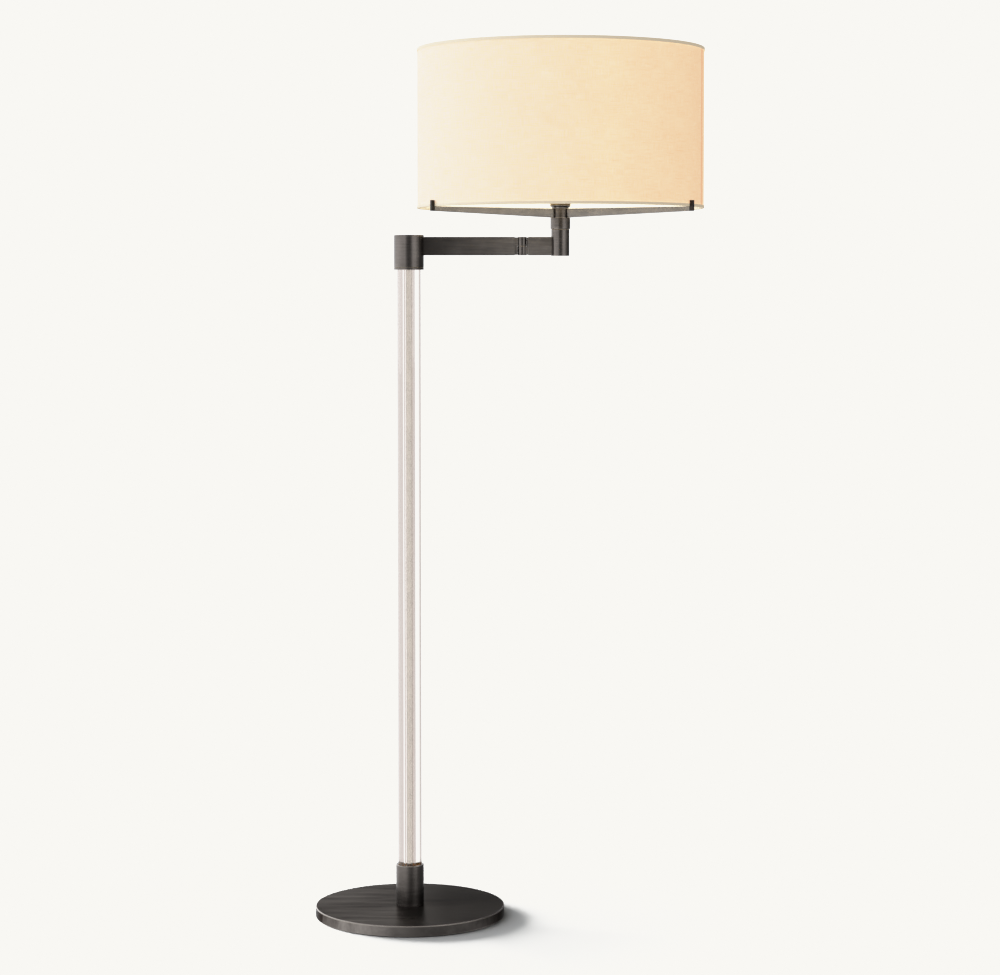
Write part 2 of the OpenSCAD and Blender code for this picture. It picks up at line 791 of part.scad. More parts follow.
module bulb_globe() {
    color("#f7f3e8") translate([head_x, 0, 0]) difference() {
        globe_solid(0);
        globe_solid(globe_wall);
    }
}

module bulb_filament() {
    color(steel) translate([head_x, 0, 0]) {
        translate([0, 0, globe_z0]) cylinder(r1 = 8, r2 = 3, h = 18);
        translate([0, 0, globe_z0 + 17]) cylinder(r = 1.5, h = 28);
        translate([-9, 0, globe_z0 + 45]) rotate([0, 90, 0]) cylinder(r = 1, h = 18, $fn = 24);
    }
}

module shade_linen() {
    color(linen) translate([head_x, 0, 0]) pipe(
        shade_r, shade_r - skin_t, shade_z0 + trim_wall + trim_fit, shade_z1 - trim_wall - trim_fit, $fn = 240);
}

module shade_liner() {
    r = shade_r - skin_t - seat;
    color("#f6f1e6") translate([head_x, 0, 0]) pipe(
        r, r - skin_t, shade_z0 + trim_wall + trim_fit, shade_z1 - trim_wall - trim_fit, $fn = 240);
}

// A wire hoop inside the shade's edge
module hoop(z) {
    color(steel) translate([head_x, 0, z]) rotate_extrude($fn = 240)
        translate([hoop_pitch_r, 0]) circle(r = hoop_r, $fn = 32);
}

module shade_top_hoop() {
    hoop(shade_z1 - trim_wall - 0.1 - hoop_r);
}

module shade_bottom_hoop() {
    hoop(shade_z0 + trim_wall + 0.1 + hoop_r);
}

// Cloth rolled over an edge of the drum: z is the edge and up points into the drum, 1 or -1
module rolled_trim(z, h, up) {
    zs = [z, z + up * h, z + up * trim_wall];
    color("#b9b0a2") translate([head_x, 0, 0]) rotate_extrude($fn = 240) polygon([
        [trim_bore, zs[0]], [trim_r, zs[0]], [trim_r, zs[1]], [trim_r - trim_wall, zs[1]],
        [trim_r - trim_wall, zs[2]], [trim_bore + trim_wall, zs[2]],
        [trim_bore + trim_wall, zs[1]], [trim_bore, zs[1]]
    ]);
}

module shade_top_trim() {
    rolled_trim(shade_z1, top_trim_h, -1);
}

module shade_bottom_trim() {
    rolled_trim(shade_z0, bottom_trim_h, 1);
}

module head_wire() {
    color(wire_jacket) wire_z(head_x, stem_z0 - 1 + wire_gap, block_z0);
}

module switch_knob() {
    shell_gap = 0.6;
    spindle_l = 10;
    flutes = 12;
    color(phenolic) translate([head_x, -holder_r - shell_gap, knob_z]) rotate([90, 0, 0]) {
        difference() {
            turned(knob_r, 0, knob_l, 0.8, 1.2);
            for (i = [0:flutes - 1]) rotate([0, 0, i * 360 / flutes])
                translate([knob_r + 0.35, 0, 2]) cylinder(r = 0.9, h = knob_l, $fn = 16);
        }
        translate([0, 0, -shell_gap - spindle_l]) cylinder(r = spindle_r, h = shell_gap + spindle_l + 1);
    }
}

felt_pad();
base_weight();
base_cover();
cord_inlet_bush();
base_washer();
base_nut();
column_collar();
lower_gasket();
glass_column();
wire_conduit();
upper_gasket();
column_cap();
cap_washer();
cap_nut();
hub_thrust_washer();
column_wire();
arm_hub();
hub_cap();
hub_stop_screw();
inner_arm_bar();
inner_knuckle();
elbow_pin();
elbow_nut();
elbow_top_cap();
inner_arm_wire();
elbow_washer();
outer_knuckle();
elbow_bottom_cap();
outer_arm_bar();
head_sleeve();
sleeve_plug();
head_washer();
head_stop_screw();
outer_arm_wire();
socket_cup();
head_nut();
holder_nipple();
shade_arm_back();
shade_arm_left();
shade_arm_right();
holder_shell();
holder_nut();
switch_block();
centre_contact();
holder_liner();
screw_shell();
bulb_cap();
bulb_globe();
bulb_filament();
shade_linen();
shade_liner();
shade_top_hoop();
shade_bottom_hoop();
shade_top_trim();
shade_bottom_trim();
head_wire();
switch_knob();
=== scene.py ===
"""The looks of an adjustable arm floor lamp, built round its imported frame."""
import json
import math

import bmesh
import bpy
import numpy as np
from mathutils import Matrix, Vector

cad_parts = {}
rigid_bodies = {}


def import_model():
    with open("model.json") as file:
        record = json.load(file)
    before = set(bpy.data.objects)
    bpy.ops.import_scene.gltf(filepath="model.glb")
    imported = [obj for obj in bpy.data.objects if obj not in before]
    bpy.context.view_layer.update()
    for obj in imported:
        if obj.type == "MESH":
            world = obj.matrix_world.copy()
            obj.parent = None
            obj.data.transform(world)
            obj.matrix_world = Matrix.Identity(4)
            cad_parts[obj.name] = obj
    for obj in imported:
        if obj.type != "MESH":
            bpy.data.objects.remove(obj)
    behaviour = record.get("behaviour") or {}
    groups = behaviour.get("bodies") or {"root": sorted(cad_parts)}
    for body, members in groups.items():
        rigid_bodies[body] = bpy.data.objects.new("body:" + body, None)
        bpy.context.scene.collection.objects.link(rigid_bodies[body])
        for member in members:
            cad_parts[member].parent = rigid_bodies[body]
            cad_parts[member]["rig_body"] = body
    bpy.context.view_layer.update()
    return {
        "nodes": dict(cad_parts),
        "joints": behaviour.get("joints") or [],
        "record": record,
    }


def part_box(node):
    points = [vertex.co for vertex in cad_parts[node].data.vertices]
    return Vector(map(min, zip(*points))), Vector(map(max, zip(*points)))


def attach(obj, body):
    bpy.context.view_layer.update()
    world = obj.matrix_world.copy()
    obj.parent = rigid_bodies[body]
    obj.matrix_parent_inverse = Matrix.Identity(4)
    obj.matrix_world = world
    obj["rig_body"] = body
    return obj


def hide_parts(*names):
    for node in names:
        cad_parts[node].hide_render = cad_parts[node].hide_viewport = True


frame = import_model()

MM = 0.001
PIVOT = {j["name"]: np.array(j["pos_m"]) for j in frame["joints"]}
SLOT_OF = {p["node"]: p["material_slot"] for p in frame["record"]["subparts"]}
COLUMN = (0.0, 0.0)
ELBOW = tuple(PIVOT["elbow"][:2])
HEAD = tuple(PIVOT["head_swivel"][:2])
FILLET_STEPS = 5
SHARP_DEG = 32
# The bore that the wire conduit passes through in the base, the collar and the cap
CONDUIT_BORE = 5.02 * MM
# How far a cutter runs past the wall it cuts
PAST = 1 * MM


def span(node):
    """The lowest and highest corners of a frame node, as arrays."""
    low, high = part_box(node)
    return np.array(low), np.array(high)


def radius_of(node):
    """Half of a round node's width along X."""
    low, high = span(node)
    return (high[0] - low[0]) / 2


def linear(hex_colour):
    """An sRGB hex colour as linear red, green, blue and alpha."""
    srgb = np.array([int(hex_colour[i:i + 2], 16) for i in (1, 3, 5)]) / 255
    low, high = srgb / 12.92, ((srgb + 0.055) / 1.055) ** 2.4
    return (*np.where(srgb <= 0.04045, low, high), 1.0)


# ---------------------------------------------------------------- materials

def add(tree, kind, sockets=None, **settings):
    """Adds one node: settings are its own, sockets its inputs as values or other nodes' outputs."""
    made = tree.nodes.new(kind)
    for name, value in settings.items():
        setattr(made, name, value)
    for name, value in (sockets or {}).items():
        if isinstance(value, bpy.types.NodeSocket):
            tree.links.new(value, made.inputs[name])
        else:
            made.inputs[name].default_value = value
    return made


def material(name, colour, **sockets):
    """A material with one Principled shader; returns it, its node tree and the shader."""
    made = bpy.data.materials.new(name)
    made.use_nodes = True
    tree = made.node_tree
    shader = tree.nodes["Principled BSDF"]
    shader.inputs["Base Color"].default_value = linear(colour)
    for socket, value in sockets.items():
        shader.inputs[socket.replace("_", " ")].default_value = value
    made.diffuse_color = linear(colour)
    return made, tree, shader


def grain(tree, size_mm, detail=3.0, distortion=0.0, vector="Object"):
    """A noise whose spots are size_mm long along each axis, from 0 to 1."""
    coords = add(tree, "ShaderNodeTexCoord").outputs[vector]
    scaled = add(tree, "ShaderNodeMapping", {"Vector": coords, "Scale": [1 / (s * MM) for s in size_mm]})
    return add(tree, "ShaderNodeTexNoise", {
        "Vector": scaled.outputs["Vector"], "Scale": 1.0, "Detail": detail,
        "Roughness": 0.6, "Distortion": distortion}).outputs["Fac"]


def spread(tree, value, low, high, start=0.3, end=0.7):
    """Turns a noise's middle range, start to end, into low to high."""
    return add(tree, "ShaderNodeMapRange", {
        "Value": value, "From Min": start, "From Max": end, "To Min": low, "To Max": high}).outputs["Result"]


def blended(tree, share, first, second):
    """The colour between first and second, by share."""
    made = add(tree, "ShaderNodeMix", data_type="RGBA")
    for index, value in ((0, share), (6, first), (7, second)):
        if isinstance(value, bpy.types.NodeSocket):
            tree.links.new(value, made.inputs[index])
        else:
            made.inputs[index].default_value = value
    return made.outputs[2]


def bump(tree, shader, height, depth_mm, strength=1.0):
    """Raises the surface by height times depth_mm."""
    made = add(tree, "ShaderNodeBump", {"Height": height, "Distance": depth_mm * MM, "Strength": strength})
    tree.links.new(made.outputs["Normal"], shader.inputs["Normal"])


def level_grain(tree, shader, amount):
    """Stretches the gloss up and down, across a part's fine level scratches: a quarter turn from
    the tangent up x normal, which runs along them."""
    normal = add(tree, "ShaderNodeNewGeometry").outputs["Normal"]
    level = add(tree, "ShaderNodeVectorMath", {0: (0.0, 0.0, 1.0), 1: normal}, operation="CROSS_PRODUCT")
    tree.links.new(level.outputs["Vector"], shader.inputs["Tangent"])
    shader.inputs["Anisotropic"].default_value = amount
    shader.inputs["Anisotropic Rotation"].default_value = 0.25


def patina(tree, shader, size_mm, dark, light, distortion=0.0, patch_mm=45):
    """Mixes a rubbed metal's dark and light over streaks and patches; returns the streaks and the colour."""
    streaks = grain(tree, size_mm, detail=4.0, distortion=distortion)
    patches = grain(tree, (patch_mm,) * 3, detail=2.0)
    both = add(tree, "ShaderNodeMath", {0: streaks, 1: patches}, operation="ADD").outputs["Value"]
    colour = blended(tree, spread(tree, both, 0.0, 1.0, 0.7, 1.3), linear(dark), linear(light))
    tree.links.new(colour, shader.inputs["Base Color"])
    return streaks, colour


def brushed(name, dark, light, roughness, size_mm, depth_mm, anisotropic=0.0):
    """A metal rubbed with an abrasive: streaks size_mm long and wide, from dark to light."""
    made, tree, shader = material(name, dark, Metallic=1.0)
    streaks, _ = patina(tree, shader, size_mm, dark, light)
    tree.links.new(spread(tree, streaks, roughness - 0.03, roughness + 0.04), shader.inputs["Roughness"])
    bump(tree, shader, streaks, depth_mm)
    if anisotropic:
        level_grain(tree, shader, anisotropic)
    return made


# Oil-rubbed bronze: a near-black brown patina over warm metal, rubbed along each part by hand, so its
# streaks are soft and its glow stays low. Real scratches are under 0.1 mm wide: on every brushed metal
# here they are drawn 2 mm wide or more, as coarse as they need to be to show.
BRONZE_DARK, BRONZE_LIGHT = "#4c4845", "#645f5c"
bronze_turned = brushed("bronze_rubbed_round", BRONZE_DARK, BRONZE_LIGHT, 0.16, (24, 24, 2.2), 0.002, 0.8)
# Rounded edges are lighter and smoother: partly patina that hands and cloths have rubbed thin, partly a
# painted highlight along each edge.
bronze_edge = brushed("bronze_worn_edge", "#7b7570", "#8b847f", 0.24, (14, 14, 14), 0.002)


def bar_material():
    """Bars are rubbed along their length; their colour is painted darker toward the hub, a painted shade
    that clears toward the elbow.
    """
    made, tree, shader = material("bronze_rubbed_along", BRONZE_DARK, Metallic=1.0)
    streaks, colour = patina(tree, shader, (60, 9, 2.4), "#585553", "#787472")
    along = add(tree, "ShaderNodeSeparateXYZ", {
        "Vector": add(tree, "ShaderNodeTexCoord").outputs["Object"]}).outputs["X"]
    # painted shade: near-black at the hub, fading out toward the elbow
    clear_of_painted_shade = spread(tree, along, 0.0, 1.0, 0.02, ELBOW[0] - 0.01)
    tree.links.new(blended(tree, clear_of_painted_shade, linear("#302d2b"), colour), shader.inputs["Base Color"])
    tree.links.new(spread(tree, streaks, 0.36, 0.44), shader.inputs["Roughness"])
    bump(tree, shader, streaks, 0.003)
    return made


bronze_bar = bar_material()
# The shade's arms are thin and rubbed smoother.
bronze_blade = brushed("bronze_rubbed_blade", "#666463", "#7e7b79", 0.24, (34, 34, 4), 0.002)
# The hooks are painted near-black all over: painted shade where their faces turn away from the light
bronze_hook = brushed("bronze_waxed_hook", "#2a2725", "#383431", 0.34, (34, 34, 4), 0.002)


def bronze_base_material():
    """The base is rubbed across in long wavy strokes, and painted darker on its right side, away from the
    window: painted shade.
    """
    made, tree, shader = material("bronze_rubbed_across", BRONZE_DARK, Metallic=1.0)
    across, colour = patina(tree, shader, (110, 8, 30), "#3a3634", "#78736f", 0.35, 220)
    along = add(tree, "ShaderNodeSeparateXYZ", {
        "Vector": add(tree, "ShaderNodeTexCoord").outputs["Object"]}).outputs["X"]
    # painted shade: the colour darkens toward +X, the side away from the light
    away = spread(tree, along, 0.0, 0.62, -0.03, 0.06)
    tree.links.new(blended(tree, away, colour, linear("#1f1d1c")), shader.inputs["Base Color"])
    tree.links.new(spread(tree, across, 0.27, 0.37), shader.inputs["Roughness"])
    shader.inputs["Specular Tint"].default_value = (0.34, 0.34, 0.34, 1.0)
    bump(tree, shader, across, 0.02)
    return made


def bored_bronze_material(name, bore_r):
    """Bronze outside, with the bore inside bore_r left as raw golden brass, oiled but not patinated."""
    made, tree, shader = material(name, BRONZE_DARK, Metallic=1.0)
    streaks, outside = patina(tree, shader, (30, 30, 3.2), BRONZE_DARK, BRONZE_LIGHT)
    place = add(tree, "ShaderNodeTexCoord").outputs["Object"]
    flat = add(tree, "ShaderNodeVectorMath", {0: place, 1: (1.0, 1.0, 0.0)}, operation="MULTIPLY")
    reach = add(tree, "ShaderNodeVectorMath", {0: flat.outputs["Vector"]}, operation="LENGTH")
    inside = add(tree, "ShaderNodeMath", {
        0: reach.outputs["Value"], 1: bore_r}, operation="LESS_THAN").outputs["Value"]
    tree.links.new(blended(tree, inside, outside, linear("#b8832e")), shader.inputs["Base Color"])
    sheen = spread(tree, streaks, 0.18, 0.25)
    softer = add(tree, "ShaderNodeMath", {0: inside, 1: 0.35}, operation="MULTIPLY").outputs["Value"]
    tree.links.new(add(tree, "ShaderNodeMath", {
        0: sheen, 1: softer}, operation="ADD").outputs["Value"], shader.inputs["Roughness"])
    bump(tree, shader, streaks, 0.002)
    level_grain(tree, shader, 0.8)
    return made


# Raw brass, turned: bright and golden, with fine rings from the lathe.
raw_brass = brushed("brass_turned", "#8d7448", "#a58c5c", 0.30, (20, 20, 3.0), 0.002)
# The same brass as a thrust washer: oiled and dulled, so only a hint of gold shows at a joint.
oiled_brass = brushed("brass_washer_oiled", "#5d564a", "#766d5d", 0.34, (20, 20, 3.0), 0.002)
# Zinc plate on steel: pale grey and a little cloudy.
zinc_steel = brushed("steel_zinc_plated", "#9b9da0", "#b9bbbd", 0.33, (6, 6, 6), 0.004)
# Bright nickel plate over polished brass: a warm mirror.
bright_nickel = brushed("nickel_bright", "#c3c0bc", "#cecbc6", 0.16, (20, 20, 30), 0.001)
# Grey iron, as cast: dark and sandy.
cast_iron = brushed("iron_as_cast", "#3c3c3e", "#545457", 0.62, (1.6, 1.6, 1.6), 0.12)


def glass_material():
    """Clear flint glass, drawn and fire-polished: colourless, with the faintest unevenness in its face."""
    made, tree, shader = material(
        "glass_drawn_clear", "#f6f2ef", Roughness=0.0, IOR=1.5, Transmission_Weight=1.0)
    bump(tree, shader, grain(tree, (12, 12, 160), detail=1.0), 0.02, 0.25)
    return made


def moulded(name, colour, light, roughness, size_mm, depth_mm, **sockets):
    """A moulded or pressed material whose colour and skin vary a little over size_mm."""
    made, tree, shader = material(name, colour, Roughness=roughness, **sockets)
    speckle = grain(tree, size_mm)
    share = spread(tree, speckle, 0.0, 1.0)
    tree.links.new(blended(tree, share, linear(colour), linear(light)), shader.inputs["Base Color"])
    bump(tree, shader, speckle, depth_mm)
    return made


felt = moulded("felt_wool_pressed", "#26241f", "#3a3732", 0.95, (0.9, 0.9, 0.9), 0.25, Sheen_Weight=0.4)
rubber = moulded("rubber_moulded", "#232324", "#2d2d2e", 0.62, (0.7, 0.7, 0.7), 0.02)
phenolic = moulded("phenolic_moulded", "#2a211c", "#392d26", 0.36, (3, 3, 3), 0.01)
fibre = moulded("fibre_vulcanised", "#7d5f3f", "#94724e", 0.75, (2, 2, 9), 0.04)
vinyl = moulded("vinyl_wire_jacket", "#d2ccbd", "#ddd8ca", 0.42, (5, 5, 5), 0.01)


def glow(tree, shader, colour, strength):
    """Lets the surface give out light: colour is a node's output or a linear colour."""
    if isinstance(colour, bpy.types.NodeSocket):
        tree.links.new(colour, shader.inputs["Emission Color"])
    else:
        shader.inputs["Emission Color"].default_value = colour
    shader.inputs["Emission Strength"].default_value = strength


# How bright the lit parts are: the bulb, and the painted glow of the liner, the cloth in front of it and the
# rolled tape
BULB_GLOW, LINER_GLOW, CLOTH_GLOW, TAPE_GLOW = 5.0, 0.92, 0.90, 0.52


def opal_material():
    """Glass frosted inside, lit: an even warm white, with a smooth skin."""
    made, tree, shader = material("glass_opal_lit", "#f7f2e6", Roughness=0.22, IOR=1.5)
    cloud = grain(tree, (18, 18, 18))
    warm = blended(tree, spread(tree, cloud, 0, 1), linear("#fff1d6"), linear("#ffe9c4"))
    glow(tree, shader, warm, BULB_GLOW)
    return made


def liner_material():
    """Styrene sheet behind the cloth, white and translucent: the inside of the drum, with the bulb's light
    on it painted on as a cream glow.
    """
    made, tree, shader = material("styrene_liner_lit", "#f4efe4", Roughness=0.5)
    cloud = grain(tree, (60, 60, 60))
    cream = blended(tree, spread(tree, cloud, 0, 1), linear("#fff1d6"), linear("#fbe5c0"))
    glow(tree, shader, cream, LINER_GLOW)
    return made


# Linen threads lie about 0.9 mm apart, and each thickens into slubs along its length
THREAD_MM = 0.9
SLUB_MM = 26.0
# Half of the width over which the cloth's two ends lap
SEAM_HALF_W = 5.5 * MM


def linen_material(radius, seam_angle):
    """Ivory plain-weave linen with the bulb's light through it painted on as a glow: warm where thin, darker
    along slubs and the lap, and weaker toward the left side.
    """
    made, tree, shader = material("linen_plain_weave", "#e9e1d2", Roughness=0.9, Sheen_Weight=0.15)
    weft = grain(tree, (SLUB_MM, THREAD_MM, 1), detail=2.0, vector="UV")
    warp = grain(tree, (THREAD_MM, SLUB_MM * 0.7, 1), detail=2.0, vector="UV")
    slubs = grain(tree, (SLUB_MM * 1.4, THREAD_MM * 1.5, 1), detail=2.0, vector="UV")
    clouds = grain(tree, (60, 60, 1), detail=2.0, vector="UV")
    weave = add(tree, "ShaderNodeMath", {0: weft, 1: warp}, operation="ADD").outputs["Value"]
    height = spread(tree, weave, 0.0, 1.0, 0.7, 1.3)
    thick = add(tree, "ShaderNodeMath", {
        0: height, 1: spread(tree, slubs, 0.0, 0.7, 0.50, 0.80)}, operation="ADD").outputs["Value"]
    thick = add(tree, "ShaderNodeMath", {
        0: thick, 1: spread(tree, clouds, 0.0, 0.3)}, operation="ADD").outputs["Value"]
    along = add(tree, "ShaderNodeSeparateXYZ", {
        "Vector": add(tree, "ShaderNodeTexCoord").outputs["UV"]}).outputs["X"]
    off_seam = add(tree, "ShaderNodeMath", {
        0: along, 1: (seam_angle % (2 * math.pi)) * radius}, operation="SUBTRACT").outputs["Value"]
    away = add(tree, "ShaderNodeMath", {0: off_seam}, operation="ABSOLUTE").outputs["Value"]
    lap = spread(tree, away, 1.0, 0.0, SEAM_HALF_W - 0.4 * MM, SEAM_HALF_W + 0.4 * MM)
    thin, dense, lapped = linear("#fed2a7"), linear("#f0b783"), linear("#efae7e")
    lit = blended(tree, spread(tree, thick, 0.0, 1.0, 0.3, 1.9), thin, dense)
    across = add(tree, "ShaderNodeSeparateXYZ", {
        "Vector": add(tree, "ShaderNodeTexCoord").outputs["Object"]}).outputs["X"]
    # painted glow: weaker toward the left side, where the window's light washes the cloth
    painted_glow_by_side = spread(tree, across, 0.58, 1.0, HEAD[0] - radius, HEAD[0] + 0.3 * radius)
    through = blended(tree, painted_glow_by_side, linear("#000000"), blended(tree, lap, lit, lapped))
    glow(tree, shader, through, CLOTH_GLOW)
    ivory = blended(tree, height, linear("#f0eadf"), linear("#ddd3c2"))
    tree.links.new(ivory, shader.inputs["Base Color"])
    bump(tree, shader, thick, 0.25)
    return made


def tape_material():
    """Linen tape rolled over the hoops: several layers thick, so little light comes through, and that little
    is painted on as a glow.
    """
    made, tree, shader = material("linen_tape_rolled", "#d4cbbc", Roughness=0.92)
    weave = grain(tree, (2.2, 2.2, 1.0))
    share = spread(tree, weave, 0.0, 1.0)
    tree.links.new(blended(tree, share, linear("#cbc2b2"), linear("#dfd7ca")), shader.inputs["Base Color"])
    glow(tree, shader, linear("#e6d3b2"), TAPE_GLOW)
    bump(tree, shader, weave, 0.12)
    return made


base_bronze = bronze_base_material()
collar_bronze = bored_bronze_material("bronze_collar_bored", 19.7 * MM)
clear_glass = glass_material()
opal_glass = opal_material()
liner_sheet = liner_material()
tape = tape_material()
MATERIAL_OF = {
    "bronze": bronze_turned, "raw_brass": raw_brass, "steel": zinc_steel, "nickel": bright_nickel,
    "cast_iron": cast_iron, "felt": felt, "rubber": rubber, "clear_glass": clear_glass, "phenolic": phenolic,
    "fibre_liner": fibre, "wire_jacket": vinyl, "opal_glass": opal_glass, "shade_liner": liner_sheet,
    "trim_tape": tape,
}


# ---------------------------------------------------------------- surfaces

def outline(*corners):
    """A closed outline of points (r, z) from corners (r, z, fillet in mm): each fillet is the curve
    (1-t)^2 A + 2 t (1-t) P + t^2 B between points A and B that lie its size from the corner P."""
    rows = np.array(corners, float)
    points, size = rows[:, :2], rows[:, 2:] * MM
    back, ahead = np.roll(points, 1, 0) - points, np.roll(points, -1, 0) - points
    unit = [v / np.maximum(np.linalg.norm(v, axis=1, keepdims=True), 1e-9) for v in (back, ahead)]
    start, end = points + unit[0] * size, points + unit[1] * size
    t = np.linspace(0, 1, FILLET_STEPS + 1)[:, None, None]
    curve = (1 - t) ** 2 * start + 2 * t * (1 - t) * points + t ** 2 * end
    # fillet rows are marked for the edge material: on bronze, wear and a painted highlight
    wear_and_highlight = np.repeat(size[:, 0] > 0, FILLET_STEPS + 1)
    wear_and_highlight[FILLET_STEPS::FILLET_STEPS + 1] = False
    return curve.transpose(1, 0, 2).reshape(-1, 2), wear_and_highlight


def lathe(profile, centre, turns=160):
    """An outline (r, z) carried round a vertical axis: x = cx + r cos a, y = cy + r sin a."""
    a = np.linspace(0, 2 * np.pi, turns, endpoint=False)
    r, z = profile[:, :1], profile[:, 1:]
    return np.stack([centre[0] + r * np.cos(a), centre[1] + r * np.sin(a), z + 0 * a], -1)


def to_y(grid, x, z):
    """Turns a lathe grid about the origin so that its axis runs along Y, and moves it to x and z."""
    return np.stack([x + grid[..., 0], grid[..., 2], z + grid[..., 1]], -1)


def closed_mesh(name, grid, wear_and_highlight=None, uv=None):
    """A mesh over a grid of points that closes on itself both ways. Poles and seams are merged, faces
    point outwards, and rows on fillets take the second material: on bronze, lighter edges of wear and
    painted highlight."""
    rows, cols = grid.shape[:2]
    i, j = np.meshgrid(np.arange(rows), np.arange(cols), indexing="ij")
    i2, j2 = (i + 1) % rows, (j + 1) % cols
    quads = np.stack([i * cols + j, i * cols + j2, i2 * cols + j2, i2 * cols + j], -1).reshape(-1, 4)
    mesh = bpy.data.meshes.new(name)
    mesh.from_pydata(grid.reshape(-1, 3).tolist(), [], quads.tolist())
    if wear_and_highlight is not None:
        mesh.polygons.foreach_set("material_index", np.repeat(wear_and_highlight, cols).astype(np.int32))
    if uv is not None:
        layer = mesh.uv_layers.new(name="UVMap")
        layer.data.foreach_set("uv", uv.reshape(-1).astype(np.float32))
    return tidied(mesh)


def tidied(mesh):
    """Merges doubles, turns faces outwards, and shades the mesh smooth up to SHARP_DEG."""
    work = bmesh.new()
    work.from_mesh(mesh)
    bmesh.ops.remove_doubles(work, verts=work.verts, dist=1e-6)
    bmesh.ops.recalc_face_normals(work, faces=work.faces)
    work.to_mesh(mesh)
    work.free()
    mesh.polygons.foreach_set("use_smooth", np.ones(len(mesh.polygons), bool))
    mesh.set_sharp_from_angle(angle=math.radians(SHARP_DEG))
    return mesh


def slab(name, points, thickness, place):
    """A flat plate: its outline (a, b) carried across its thickness t, each point put at place(a, b, t)."""
    points = np.array(points, float)
    count = len(points)
    a, b = np.tile(points[:, 0], 2), np.tile(points[:, 1], 2)
    t = np.repeat([-thickness / 2, thickness / 2], count)
    k = np.arange(count)
    sides = np.stack([k, (k + 1) % count, (k + 1) % count + count, k + count], -1)
    mesh = bpy.data.meshes.new(name)
    mesh.from_pydata(place(a, b, t).tolist(), [], [*sides.tolist(), k[::-1].tolist(), (k + count).tolist()])
    return tidied(mesh)


def piece(mesh, node, materials, bevel_mm=0.0):
    """Puts a mesh in the scene as a piece that stands for a node and rides on its body."""
    made = bpy.data.objects.new(mesh.name, mesh)
    bpy.context.scene.collection.objects.link(made)
    for each in materials:
        mesh.materials.append(each)
    if bevel_mm:
        edge = made.modifiers.new("edges", "BEVEL")
        edge.width = bevel_mm * MM
        edge.segments = 3
        edge.limit_method = "ANGLE"
        edge.angle_limit = math.radians(30)
        edge.material = len(mesh.materials) - 1
    made.modifiers.new("normals", "WEIGHTED_NORMAL").keep_sharp = True
    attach(made, frame["nodes"][node]["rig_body"])
    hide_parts(node)
    return made


def bored(made, grid):
    """Cuts the solid of a grid out of a finished piece."""
    cutter = bpy.data.objects.new("cutter", closed_mesh("cutter", grid))
    bpy.context.scene.collection.objects.link(cutter)
    cut = made.modifiers.new("bore", "BOOLEAN")
    cut.operation = "DIFFERENCE"
    cut.object = cutter
    made.modifiers.move(len(made.modifiers) - 1, 0)
    made.modifiers["normals"].show_viewport = False
    bpy.context.view_layer.update()
    evaluated = made.evaluated_get(bpy.context.evaluated_depsgraph_get())
    mesh = bpy.data.meshes.new_from_object(evaluated)
    made.modifiers.remove(cut)
    made.modifiers["normals"].show_viewport = True
    made.data = mesh
    bpy.data.objects.remove(cutter)
    mesh.set_sharp_from_angle(angle=math.radians(SHARP_DEG))


def turned(node, corners, centre=COLUMN, turns=160, materials=(bronze_turned, bronze_edge)):
    """A node made again as a turned part with its corners rounded."""
    profile, wear_and_highlight = outline(*corners)
    return piece(closed_mesh(node + "_turned", lathe(profile, centre, turns), wear_and_highlight), node, materials)


# ---------------------------------------------------------------- base and column

def make_base():
    """Spun bronze cover over its iron weight, a felt pad under it and a rubber bush at its back."""
    low, high = span("base_cover")
    wall = 1.5 * MM
    cover = turned("base_cover", [
        (CONDUIT_BORE, high[2] - wall, 0), (high[0] - wall, high[2] - wall, 0.4),
        (high[0] - wall, low[2], 0.3), (high[0], low[2], 0.5), (high[0], high[2], 1.4),
        (CONDUIT_BORE, high[2], 0)],
        turns=320, materials=(base_bronze, bronze_edge))
    bush_low, bush_high = span("cord_inlet_bush")
    bush_z = (bush_low[2] + bush_high[2]) / 2
    hole_r, past_rim = 5.05 * MM, 160 * MM
    hole, _ = outline(
        (0, bush_low[1], 0), (hole_r, bush_low[1], 0), (hole_r, past_rim, 0), (0, past_rim, 0))
    bored(cover, to_y(lathe(hole, COLUMN, 48), 0.0, bush_z))
    flange, flange_h, sleeve, hollow = bush_high[0], 1 * MM, 5.0 * MM, 3.3 * MM
    profile, wear_and_highlight = outline(
        (hollow, bush_low[1], 0.3), (sleeve, bush_low[1], 0.3), (sleeve, bush_high[1] - flange_h, 0.1),
        (flange, bush_high[1] - flange_h, 0.2), (flange, bush_high[1], 0.45), (hollow, bush_high[1], 0.6))
    grid = to_y(lathe(profile, COLUMN, 64), 0.0, bush_z)
    piece(closed_mesh("cord_inlet_bush_moulded", grid, wear_and_highlight), "cord_inlet_bush", (rubber, rubber))
    pad_low, pad_high = span("felt_pad")
    turned("felt_pad", [
        (0, pad_low[2], 0), (pad_high[0], pad_low[2], 0.5), (pad_high[0], pad_high[2], 0.7),
        (0, pad_high[2], 0)], turns=240, materials=(felt, felt))


